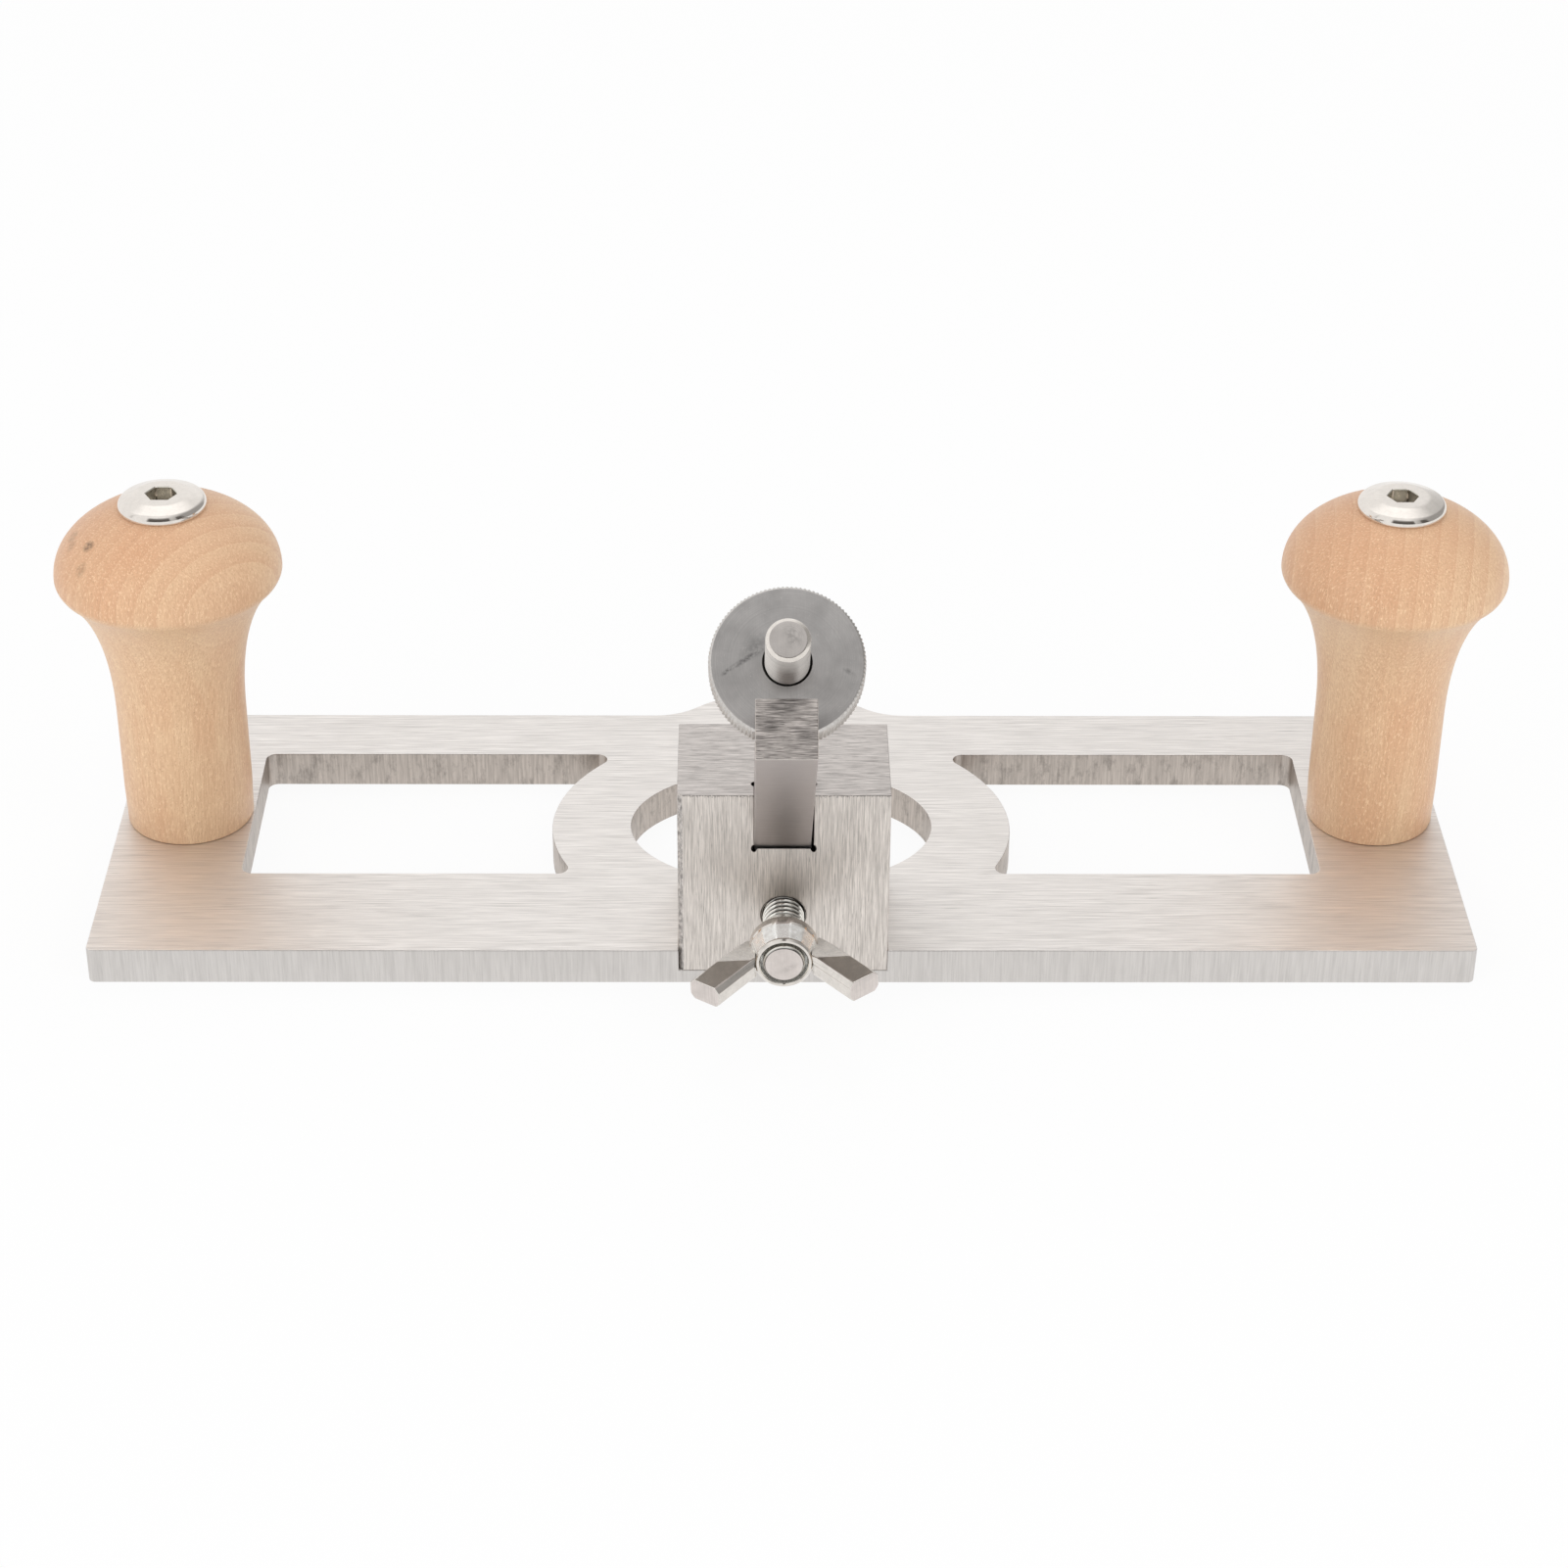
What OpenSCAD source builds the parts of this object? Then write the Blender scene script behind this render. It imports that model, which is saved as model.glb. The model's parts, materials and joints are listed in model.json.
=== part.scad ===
// Hand router plane: a ground steel sole with two turned handles and a blade held at a slant in a block.
// Millimetres, +Z up. The origin lies on the sole, under the middle of the front rail.

/* [Sole plate] */
// Length of the sole plate from end to end
plate_w = 200; // [180:1:240]
// Depth of the sole plate, front edge to back edge
plate_d = 66; // [62:0.5:80]
// Thickness of the sole plate
plate_t = 5.6; // [5:0.1:8]
// Depth of the rail in front of the windows
front_rail = 20.2; // [18:0.2:24]
// Depth of the rail behind the windows
back_rail = 12; // [8:0.5:16]
// Width of the rail at each end, under a handle
end_rail = 20; // [19:0.5:28]
// Radius of the window corners
window_r = 1.5; // [0.6:0.1:3]
// Radius of the plate's own corners
corner_r = 1; // [0.4:0.1:4]
// Distance of the mouth's centre from the front edge
mouth_y = 33.6; // [32:0.2:38]
// Width of the oval mouth
mouth_w = 45.4; // [36:0.2:50]
// Depth of the oval mouth
mouth_d = 32.8; // [30:0.2:36]
// Plate left between the mouth and each window
ring_side = 11.9; // [8:0.1:16]
// Plate left between the mouth and the ring's back
ring_back = 12.9; // [8:0.1:16]
// How far the bump stands out of the back edge
bump_h = 7.5; // [3:0.5:12]
// Radius of the bump
bump_r = 20; // [14:0.5:30]
// Radius of the hollow on each side of the bump
bump_fillet = 10; // [4:0.5:16]

/* [Blade block] */
// Width of the block
block_w = 30; // [26:0.5:40]
// Depth of the block, front to back
block_d = 19.4; // [18:0.2:24]
// Height of the block
block_h = 29.7; // [27:0.1:36]
// Depth of the housing that the block sits in
housing_d = 3.4; // [2:0.1:3.6]
// Diameter of the screws that hold the block from below
block_screw_dia = 4; // [3:0.1:5]
// Head diameter of the block screws
block_screw_head = 7.4; // [6:0.1:8]
// Distance between the two block screws
block_screw_gap = 19; // [18:0.5:22]
// Length of the block screws in the block
block_screw_grip = 8; // [5:0.5:12]
// Hexagon of the block screws, across flats
block_screw_hex = 2.5; // [2:0.5:3]

/* [Blade] */
// Width and thickness of the square blade
blade_size = 8; // [6:0.1:9]
// Lean of the blade from upright
blade_tilt = 45; // [42:0.5:48]
// Drop from the block's top to the blade's axis, at the front face
blade_drop = 2.74; // [2:0.02:4]
// Length of blade that stands out of the block's front
blade_reach = 47.9; // [40:0.1:60]
// Sharpening angle of the cutting edge
edge_angle = 30; // [25:1:38]
// Height of the cutting edge over the sole
edge_lift = 0.3; // [0:0.1:3]
// Gap beside the blade in its slot
slot_side = 0.2; // [0.1:0.05:0.6]
// Gap between the blade and the slot's roof
slot_roof = 0.05; // [0.02:0.01:0.2]
// Gap between the blade and the slot's floor
slot_floor = 0.3; // [0.1:0.05:0.8]
// Radius of the relief at the slot's corners
slot_relief_r = 0.4; // [0.2:0.05:0.6]

/* [Depth adjuster] */
// Distance of the spindle's axis from the blade's axis
adjuster_offset = 11; // [10.2:0.1:12]
// Diameter of the spindle
spindle_dia = 5.9; // [5:0.1:6.4]
// Length of spindle beyond the wheel's face
spindle_tip = 11; // [4:0.5:16]
// Length of spindle that shows behind the block
spindle_tail = 1.2; // [0.4:0.1:4]
// Downward travel of the blade, along its axis
depth_travel = 16; // [8:1:20]
// Diameter of the knurled wheel
wheel_dia = 20.7; // [18:0.1:22]
// Thickness of the wheel
wheel_t = 5; // [3:0.1:7]
// Distance of the wheel's face from the blade's end
wheel_set = 8.1; // [5:0.1:12]
// Number of knurl teeth
knurl_teeth = 84; // [48:4:110]
// Depth of the knurl teeth
knurl_depth = 0.25; // [0.1:0.05:0.5]
// Chamfer on the wheel's rim
wheel_chamfer = 0.45; // [0.2:0.05:0.8]
// Gap round the wheel in the blade's notch
notch_gap = 0.15; // [0.05:0.05:0.4]

/* [Clamp screw] */
// Height of the clamp screw over the block's underside
clamp_rise = 9.5; // [8:0.1:11]
// Diameter of the clamp screw
clamp_dia = 6; // [5:0.1:6.4]
// Bare thread between the block and the wing head
clamp_bare = 4.6; // [3.2:0.1:8]
// Length of the wing head's hub
hub_len = 7.5; // [6:0.1:10]
// Diameter of the hub at its band
hub_dia = 9.9; // [9:0.1:12]
// Span of the wings from tip to tip
wing_span = 25.8; // [22:0.1:32]
// How far the wing tips stand in front of the hub
wing_forward = 6.4; // [3:0.1:8]
// Breadth of a wing at its tip
wing_breadth = 5.2; // [3.6:0.1:6]
// Breadth of a wing at the hub
wing_root = 5.2; // [3:0.1:6]
// Thickness of a wing
wing_t = 3.2; // [2.4:0.1:4]
// Turn of the wings from level
wing_turn = 3; // [0:1:45]

/* [Handles] */
// How far a handle stands in from the middle of its end rail
handle_in = 0.4; // [0:0.1:0.8]
// Height of a handle
handle_h = 52.2; // [46:0.2:70]
// Diameter of a handle at its foot
foot_dia = 18.8; // [14:0.2:18.8]
// Diameter of the handle's neck
neck_dia = 19.1; // [14:0.1:20]
// Height at which the foot has widened to the neck
foot_z = 6; // [2:0.5:10]
// Height at which the neck starts to flare
neck_z = 19; // [10:0.5:24]
// Diameter of the cap
cap_dia = 33; // [31:0.2:40]
// Height of the cap's widest line
cap_z = 41.8; // [38:0.2:45]
// How far the crease lies inside the cap's widest line
crease_in = 0.45; // [0.3:0.05:1.5]
// How far the crease lies below the cap's widest line
crease_drop = 1.2; // [0.8:0.1:3]
// Lean of the cap's underside from upright, at the crease
cap_lean = 34; // [20:1:60]
// Lean of the flare from upright, at the crease
flare_lean = 47; // [30:1:60]
// Fullness of the cap's dome: 0.5 is lean and 0.8 nearly square
dome_full = 0.62; // [0.5:0.01:0.8]
// Diameter of the handle bolts
bolt_dia = 6; // [5:0.1:6.4]
// Head diameter of the handle bolts
bolt_head_dia = 12.8; // [11:0.1:16]
// Height of the bolt heads
bolt_head_h = 2.1; // [1.8:0.1:3]
// Height of the bolt heads' upright edge
bolt_lip = 0.9; // [0.4:0.1:1.2]
// Diameter of the flat on top of the bolt heads
bolt_flat_dia = 7.8; // [6:0.1:11]
// Hexagon of the bolt heads, across flats
bolt_hex = 4; // [3:0.5:5]

/* [Fits] */
// Radial gap of a thread in its tapped hole
thread_gap = 0.05; // [0.02:0.01:0.1]
// Pitch of the threads
thread_pitch = 1; // [0.8:0.05:1.25]
// Gap of the bolts in the handles
bolt_gap = 0.25; // [0.1:0.05:0.5]

/* [Hidden] */
$fn = 96;
// How far a cutter runs past the face that it opens
past = 1;
// Smooth steps along a curved profile
profile_steps = 16;
// Depth of a metric thread's groove for each millimetre of pitch
groove_share = 0.55;

steel = [0.85, 0.83, 0.81];
bright_steel = [0.88, 0.87, 0.85];
dull_steel = [0.60, 0.58, 0.57];
chrome = [0.90, 0.89, 0.88];
pale_wood = [0.88, 0.72, 0.55];

front_y = -front_rail / 2;
window_d = plate_d - front_rail - back_rail;
ring_a = mouth_w / 2 + ring_side;
ring_b = mouth_d / 2 + ring_back;
bump_y = plate_d + bump_h - bump_r;
bump_foot_x = sqrt(pow(bump_r + bump_fillet, 2) - pow(plate_d + bump_fillet - bump_y, 2));

handle_x = plate_w / 2 - end_rail / 2 - handle_in;
handle_y = front_rail + window_d / 2;
neck_r = neck_dia / 2;
cap_r = cap_dia / 2;
crease_r = cap_r - crease_in;
crease_z = cap_z - crease_drop;
// Heights toward which the flare, the cap's underside and its dome run before they turn
flare_turn_z = max(neck_z, crease_z - (crease_r - neck_r) / tan(flare_lean));
cap_turn_z = min(cap_z, crease_z + (cap_r - crease_r) / tan(cap_lean));
dome_turn_z = cap_z + dome_full * (handle_h - cap_z);
bolt_hole_r = bolt_dia / 2;
bolt_r = bolt_hole_r - thread_gap;
// Recess of a bolt's end in the sole
bolt_recess = 0.5;
// Chamfer above the upright edge of a bolt's head
bolt_chamfer = 0.45;
bolt_hex_depth = bolt_head_h + 0.8;

block_z = plate_t - housing_d;
block_top = block_z + block_h;
block_screw_y = block_d / 2;
block_screw_recess = 0.1;
block_screw_play = 0.02;
countersink_r = block_screw_head / 2;
block_screw_r = block_screw_dia / 2 - thread_gap;
block_screw_hex_depth = 1.3;

// Places along the blade count from where its axis leaves the block's front face
axis_z = block_top - blade_drop;
blade_half = blade_size / 2;
edge_s = (edge_lift - axis_z - blade_half * sin(blade_tilt)) / cos(blade_tilt);
heel_s = edge_s + blade_size / tan(edge_angle);
slot_w = blade_size + 2 * slot_side;
slot_low = -blade_half - slot_floor;
slot_high = blade_half + slot_roof;
slot_len = 4 * max(block_h, block_d);

wheel_face_s = blade_reach - wheel_set;
wheel_back_s = wheel_face_s - wheel_t;
wheel_r = wheel_dia / 2;
notch_floor = adjuster_offset - wheel_r - 2 * notch_gap;
spindle_r = spindle_dia / 2;
spindle_hole_r = spindle_r + thread_gap;
spindle_chamfer = 0.5;
spindle_top_s = wheel_face_s + spindle_tip;
spindle_exit_s = (adjuster_offset * cos(blade_tilt) - block_d) / sin(blade_tilt);
spindle_entry_s = (blade_drop - adjuster_offset * sin(blade_tilt)) / cos(blade_tilt);
spindle_low_s = spindle_exit_s - spindle_tail;
// Thread left above the block when the blade is fully down
thread_spare = 2;
spindle_thread_s = spindle_entry_s + depth_travel + thread_spare;
wheel_sink = 0.5;

clamp_z = block_z + clamp_rise;
clamp_r = clamp_dia / 2 - thread_gap;
clamp_hole_r = clamp_dia / 2;
clamp_out = clamp_bare + hub_len;
clamp_proud = 0.2;
clamp_mouth = 0.3;
clamp_tip_r = clamp_r / 3;
clamp_tip_gap = 0.08;
clamp_hit_y = (axis_z - clamp_z) * tan(blade_tilt) - blade_half / cos(blade_tilt);
clamp_tip_y = clamp_hit_y - clamp_tip_r * tan(blade_tilt) - clamp_tip_gap / cos(blade_tilt);
clamp_hole_end_y = clamp_hit_y - slot_floor / cos(blade_tilt) + clamp_hole_r * tan(blade_tilt);
hub_r = hub_dia / 2;
hub_bore_r = clamp_r + thread_gap;
hub_back_r = hub_bore_r + 0.4;
hub_front_r = hub_r - 0.55;
hub_sink_r = hub_bore_r + 0.6;
hub_sink = 2.2;
hub_cone = hub_len * 0.4;
hub_band = hub_len * 0.18;
wing_root_x = hub_back_r - 0.3;
wing_root_z = -clamp_bare - hub_len / 2;
wing_tip_z = -clamp_out - wing_forward;
// Lean of the wings from the screw's axis, first for a bare line and then for the middle of a wing
wing_line = atan2(wing_span / 2 - wing_root_x, wing_root_z - wing_tip_z);
wing_tip_x = wing_span / 2 - wing_breadth / 2 * cos(wing_line);
wing_lean = atan2(wing_tip_x - wing_root_x, wing_root_z - wing_tip_z);

// Points of an ellipse with half-widths a and b
function ellipse_points(a, b) =
    [for (i = [0:$fn - 1]) [a * cos(i * 360 / $fn), b * sin(i * 360 / $fn)]];

// Points of an arc between two angles
function arc_points(x, y, r, from, to) =
    [for (i = [0:profile_steps]) let (t = from + (to - from) * i / profile_steps)
        [x + r * cos(t), y + r * sin(t)]];

// Curve from one point to another that starts and ends toward a third, without its first point
function bend(from, toward, to) =
    [for (i = [1:profile_steps]) let (t = i / profile_steps)
        pow(1 - t, 2) * from + 2 * t * (1 - t) * toward + pow(t, 2) * to];

// Brings a shape drawn from the plate's front edge to the origin's frame
module from_front() {
    translate([0, front_y, 0]) children();
}

// Lays a shape along the blade: +Z runs up the blade and +Y away from its underside
module along_blade() {
    translate([0, 0, axis_z]) rotate([blade_tilt, 0, 0]) children();
}

module along_spindle() {
    along_blade() translate([0, adjuster_offset, 0]) children();
}

// Lays a shape along the clamp screw: +Z runs into the block from its front face
module along_clamp() {
    translate([0, 0, clamp_z]) rotate([-90, 0, 0]) children();
}

module at_handle(side) {
    translate([side * handle_x, handle_y, plate_t]) children();
}

module at_block_screw(side) {
    translate([side * block_screw_gap / 2, block_screw_y, 0]) children();
}

// One closed outline: four rounded corners, and the bump between its two hollows on the back edge
module plate_outline() {
    corner_x = plate_w / 2 - corner_r;
    back_y = plate_d - corner_r;
    lean = atan2(plate_d + bump_fillet - bump_y, bump_foot_x);
    polygon(concat(
        arc_points(-corner_x, corner_r, corner_r, 180, 270),
        arc_points(corner_x, corner_r, corner_r, 270, 360),
        arc_points(corner_x, back_y, corner_r, 0, 90),
        arc_points(bump_foot_x, plate_d + bump_fillet, bump_fillet, -90, lean - 180),
        arc_points(0, bump_y, bump_r, lean, 180 - lean),
        arc_points(-bump_foot_x, plate_d + bump_fillet, bump_fillet, -lean, -90),
        arc_points(-corner_x, back_y, corner_r, 90, 180)
    ));
}

module window(side) {
    offset(r = window_r) offset(delta = -window_r) difference() {
        translate([side > 0 ? 0 : end_rail - plate_w / 2, front_rail])
            square([plate_w / 2 - end_rail, window_d]);
        translate([0, mouth_y]) polygon(ellipse_points(ring_a, ring_b));
    }
}

module countersink(rim_r, shank_r) {
    cylinder(r1 = rim_r, r2 = shank_r, h = rim_r - shank_r);
}

// Round bar with ring grooves that stand for a thread
module threaded_bar(r, length) {
    turns = floor(length / thread_pitch);
    root = r - groove_share * thread_pitch;
    rotate_extrude() polygon(concat(
        [[0, 0]],
        [for (i = [0:turns - 1]) each [[root, i * thread_pitch], [r, (i + 0.5) * thread_pitch]]],
        [[root, turns * thread_pitch], [root, length], [0, length]]
    ));
}

module base_plate() {
    color(steel) difference() {
        linear_extrude(plate_t) plate_outline();
        for (side = [-1, 1]) {
            translate([0, 0, -past]) linear_extrude(plate_t + 2 * past) window(side);
            at_handle(side) translate([0, 0, -plate_t - past]) cylinder(r = bolt_hole_r, h = plate_t + 2 * past);
            at_block_screw(side) countersink(countersink_r, block_screw_dia / 2);
            at_block_screw(side) translate([0, 0, -past]) cylinder(d = block_screw_dia, h = plate_t + past);
        }
        translate([0, mouth_y, -past]) linear_extrude(plate_t + 2 * past)
            polygon(ellipse_points(mouth_w / 2, mouth_d / 2));
        translate([-block_w / 2, -past, block_z]) cube([block_w, block_d + past, housing_d + past]);
    }
}

module blade_slot() {
    translate([-slot_w / 2, slot_low, -slot_len / 2]) cube([slot_w, slot_high - slot_low, slot_len]);
    for (x = [-slot_w / 2, slot_w / 2], y = [slot_low, slot_high]) {
        translate([x, y, -slot_len / 2]) cylinder(r = slot_relief_r, h = slot_len, $fn = 24);
    }
}

module blade_block() {
    color(steel) difference() {
        translate([-block_w / 2, 0, block_z]) cube([block_w, block_d, block_h]);
        along_blade() blade_slot();
        along_spindle() translate([0, 0, -slot_len / 2]) cylinder(r = spindle_hole_r, h = slot_len);
        along_clamp() translate([0, 0, -past]) cylinder(r = clamp_hole_r, h = clamp_hole_end_y + past);
        along_clamp() cylinder(r1 = clamp_hole_r + clamp_mouth, r2 = clamp_hole_r, h = clamp_mouth);
        for (side = [-1, 1]) {
            at_block_screw(side) translate([0, 0, block_z - past])
                cylinder(d = block_screw_dia, h = block_screw_grip + past + thread_pitch);
        }
    }
}

module block_screw(side) {
    rim_r = countersink_r - block_screw_recess - block_screw_play;
    color(dull_steel) at_block_screw(side) difference() {
        union() {
            translate([0, 0, block_screw_recess]) countersink(rim_r, block_screw_r);
            translate([0, 0, block_screw_recess]) cylinder(r = block_screw_r, h = block_z + block_screw_grip);
        }
        cylinder(d = block_screw_hex / cos(30), h = block_screw_recess + block_screw_hex_depth, $fn = 6);
    }
}

module left_block_screw() {
    block_screw(-1);
}

module right_block_screw() {
    block_screw(1);
}

module handle(side) {
    profile = concat(
        [[0, 0], [foot_dia / 2, 0], [neck_r, foot_z], [neck_r, neck_z]],
        bend([neck_r, neck_z], [neck_r, flare_turn_z], [crease_r, crease_z]),
        bend([crease_r, crease_z], [cap_r, cap_turn_z], [cap_r, cap_z]),
        bend([cap_r, cap_z], [cap_r, dome_turn_z], [bolt_head_dia / 2, handle_h]),
        [[0, handle_h]]
    );
    color(pale_wood) at_handle(side) difference() {
        rotate_extrude() polygon(profile);
        translate([0, 0, -past]) cylinder(r = bolt_hole_r + bolt_gap, h = handle_h + 2 * past);
    }
}

module left_handle() {
    handle(-1);
}

module right_handle() {
    handle(1);
}

module handle_bolt(side) {
    shank = handle_h + plate_t - bolt_recess;
    color(chrome) at_handle(side) translate([0, 0, handle_h]) difference() {
        rotate_extrude() polygon([
            [0, -shank],
            [bolt_r - spindle_chamfer, -shank],
            [bolt_r, spindle_chamfer - shank],
            [bolt_r, 0],
            [bolt_head_dia / 2, 0],
            [bolt_head_dia / 2, bolt_lip],
            [bolt_head_dia / 2 - bolt_chamfer, bolt_lip + bolt_chamfer],
            [bolt_flat_dia / 2, bolt_head_h],
            [0, bolt_head_h]
        ]);
        translate([0, 0, bolt_head_h - bolt_hex_depth])
            cylinder(d = bolt_hex / cos(30), h = bolt_hex_depth + past, $fn = 6);
    }
}

module left_handle_bolt() {
    handle_bolt(-1);
}

module right_handle_bolt() {
    handle_bolt(1);
}

// Side outline of the blade: a slanted cutting edge below and a notch for the wheel near the top
module router_blade() {
    color(dull_steel) along_blade() rotate([90, 0, 90]) linear_extrude(blade_size, center = true) polygon([
        [blade_half, edge_s],
        [blade_half, wheel_back_s - notch_gap],
        [notch_floor, wheel_back_s - notch_gap],
        [notch_floor, wheel_face_s + notch_gap],
        [blade_half, wheel_face_s + notch_gap],
        [blade_half, blade_reach],
        [-blade_half, blade_reach],
        [-blade_half, heel_s]
    ]);
}

module adjuster_spindle() {
    color(bright_steel) along_spindle() {
        translate([0, 0, spindle_low_s]) threaded_bar(spindle_r, spindle_thread_s - spindle_low_s);
        translate([0, 0, spindle_thread_s]) rotate_extrude() polygon([
            [0, 0],
            [spindle_r, 0],
            [spindle_r, spindle_top_s - spindle_thread_s - spindle_chamfer],
            [spindle_r - spindle_chamfer, spindle_top_s - spindle_thread_s],
            [0, spindle_top_s - spindle_thread_s]
        ]);
    }
}

module knurled_outline() {
    step = 360 / knurl_teeth;
    polygon([for (i = [0:knurl_teeth - 1], k = [0, 1])
        let (r = wheel_r - k * knurl_depth, t = (i + k / 2) * step) [r * cos(t), r * sin(t)]]);
}

module adjuster_wheel() {
    color(dull_steel) along_spindle() translate([0, 0, wheel_back_s]) difference() {
        intersection() {
            linear_extrude(wheel_t) knurled_outline();
            rotate_extrude() polygon([
                [0, 0],
                [wheel_r - wheel_chamfer, 0],
                [wheel_r + past, wheel_chamfer + past],
                [wheel_r + past, wheel_t - wheel_chamfer - past],
                [wheel_r - wheel_chamfer, wheel_t],
                [0, wheel_t]
            ]);
        }
        translate([0, 0, -past]) cylinder(r = spindle_r, h = wheel_t + 2 * past);
        translate([0, 0, wheel_t - wheel_sink])
            cylinder(r1 = spindle_r, r2 = spindle_r + wheel_sink, h = wheel_sink);
    }
}

module clamp_screw() {
    thread_y = -clamp_bare - hub_len / 2;
    color(bright_steel) along_clamp() {
        translate([0, 0, -clamp_out - clamp_proud]) rotate_extrude() polygon([
            [0, 0],
            [clamp_r - clamp_mouth, 0],
            [clamp_r, clamp_mouth],
            [clamp_r, clamp_out + clamp_proud + thread_y],
            [0, clamp_out + clamp_proud + thread_y]
        ]);
        translate([0, 0, thread_y]) intersection() {
            threaded_bar(clamp_r, clamp_tip_y - thread_y);
            translate([0, 0, clamp_tip_y - thread_y]) rotate_extrude() polygon([
                [0, -clamp_tip_y + thread_y],
                [clamp_r + past, -clamp_tip_y + thread_y],
                [clamp_r + past, -(clamp_r + past - clamp_tip_r) * tan(blade_tilt)],
                [clamp_tip_r, 0],
                [0, 0]
            ]);
        }
    }
}

// Eight-sided section of a wing, wider than it is thick
module wing_section(breadth, thickness, depth) {
    corner = thickness * 0.3;
    linear_extrude(depth) polygon([for (x = [-1, 1], y = [-x, x], k = [0, 1])
        let (first = (x * y > 0) == (k == 0))
        [x * (breadth / 2 - (first ? 0 : corner)), y * (thickness / 2 - (first ? corner : 0))]]);
}

module wing(side) {
    cap = 0.4;
    hull() {
        translate([side * wing_root_x, 0, wing_root_z]) rotate([0, side * (180 - wing_lean), 0])
            wing_section(wing_root, wing_t, cap);
        translate([side * wing_tip_x, 0, wing_tip_z]) rotate([0, side * (180 - wing_lean), 0])
            translate([0, 0, -cap]) wing_section(wing_breadth, wing_t, cap);
    }
}

module wing_head() {
    color(chrome) along_clamp() rotate([0, 0, -wing_turn]) difference() {
        union() {
            translate([0, 0, -clamp_out]) rotate_extrude() polygon([
                [0, 0],
                [hub_front_r, 0],
                [hub_r, hub_len - hub_cone - hub_band],
                [hub_r, hub_len - hub_cone],
                [hub_back_r, hub_len],
                [0, hub_len]
            ]);
            for (side = [-1, 1]) {
                wing(side);
            }
        }
        translate([0, 0, -clamp_out - past]) cylinder(r = hub_bore_r, h = hub_len + 2 * past);
        translate([0, 0, -clamp_out - past]) cylinder(r = hub_sink_r, h = hub_sink + past);
    }
}

from_front() base_plate();
from_front() blade_block();
from_front() left_block_screw();
from_front() right_block_screw();
from_front() left_handle();
from_front() right_handle();
from_front() left_handle_bolt();
from_front() right_handle_bolt();
from_front() router_blade();
from_front() adjuster_spindle();
from_front() adjuster_wheel();
from_front() clamp_screw();
from_front() wing_head();
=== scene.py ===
"""Looks of a hand router plane: brushed steel sole and block, turned maple handles, bright plated screws."""
import json
import math

import bmesh
import bpy
from mathutils import Matrix, Vector


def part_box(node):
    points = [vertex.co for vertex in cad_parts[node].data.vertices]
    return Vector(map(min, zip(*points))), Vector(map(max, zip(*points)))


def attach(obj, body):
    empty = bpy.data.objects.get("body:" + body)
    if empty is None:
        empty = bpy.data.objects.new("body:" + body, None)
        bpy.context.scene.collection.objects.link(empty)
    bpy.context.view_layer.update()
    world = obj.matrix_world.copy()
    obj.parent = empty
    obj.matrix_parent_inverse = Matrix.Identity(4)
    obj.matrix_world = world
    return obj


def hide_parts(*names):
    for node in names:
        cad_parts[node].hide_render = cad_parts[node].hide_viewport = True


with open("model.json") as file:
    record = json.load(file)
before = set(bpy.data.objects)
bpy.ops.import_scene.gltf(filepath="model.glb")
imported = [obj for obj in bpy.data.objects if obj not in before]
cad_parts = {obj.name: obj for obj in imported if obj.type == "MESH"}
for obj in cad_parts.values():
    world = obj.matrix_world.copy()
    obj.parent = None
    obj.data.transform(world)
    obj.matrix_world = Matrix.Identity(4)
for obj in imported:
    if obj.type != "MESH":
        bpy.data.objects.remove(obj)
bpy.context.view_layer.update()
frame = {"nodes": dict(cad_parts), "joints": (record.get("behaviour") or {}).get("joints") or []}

MM = 0.001
TURN = 2 * math.pi
X, Y, Z = range(3)

# Camera, fitted to the photograph of 1601 x 1601 pixels
IMAGE_SIDE = 1601
FOCAL_PIXELS = 3638.7
SENSOR_MM = 36.0
CAMERA_PLACE_MM = (-5.449, -431.64, 295.94)
CAMERA_PITCH = math.radians(31.878)
CAMERA_YAW = math.radians(0.734)
CAMERA_ROLL = math.radians(0.448)

# Plate and block, in millimetres; upright walls within the limits are those of the windows and the mouth
PLATE_ROUNDING, BLOCK_ROUNDING, BLADE_ROUNDING = 0.16, 0.11, 0.14
WALLS_ASIDE, WALLS_FRONT, WALLS_BACK = 81, 12, 58
BLOCK_TORN = 0.7
BLADE_ASIDE = 0.18

# Turned handles, in millimetres from the foot up
FOOT_R, FOOT_Z = 9.4, 6.0
NECK_R, NECK_Z = 9.55, 19.0
CREASE_R, CREASE_Z = 16.05, 40.6
FLARE_TURN_Z, CAP_TURN_Z, DOME_TURN_Z = 34.54, 41.27, 48.25
CAP_Z = 41.8
HANDLE_BORE_R = 3.25

# Tones of the wood, in millimetres: where each one starts and where it is full
END_GRAIN_Z = (CAP_Z, 51)
FLARE_Z = (24, 38)
HEARTWOOD_X = (0, -13)
SAPWOOD_X = (-2, 14)
RINGS_PER_MM = 0.125
# Stains on the left cap: centre, size and strength
LEFT_SPOTS = (
    ((-9.9, -6.9, 49.3), (1.15, 1.15, 1.1), 0.95),
    ((-12.9, -2.4, 48.4), (1.2, 1.4, 1.4), 0.45),
    ((-12.8, -4.4, 48.0), (1.0, 1.2, 1.6), 0.35),
    ((-10.7, -9.8, 47.1), (1.1, 1.2, 1.7), 0.4),
)

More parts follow.
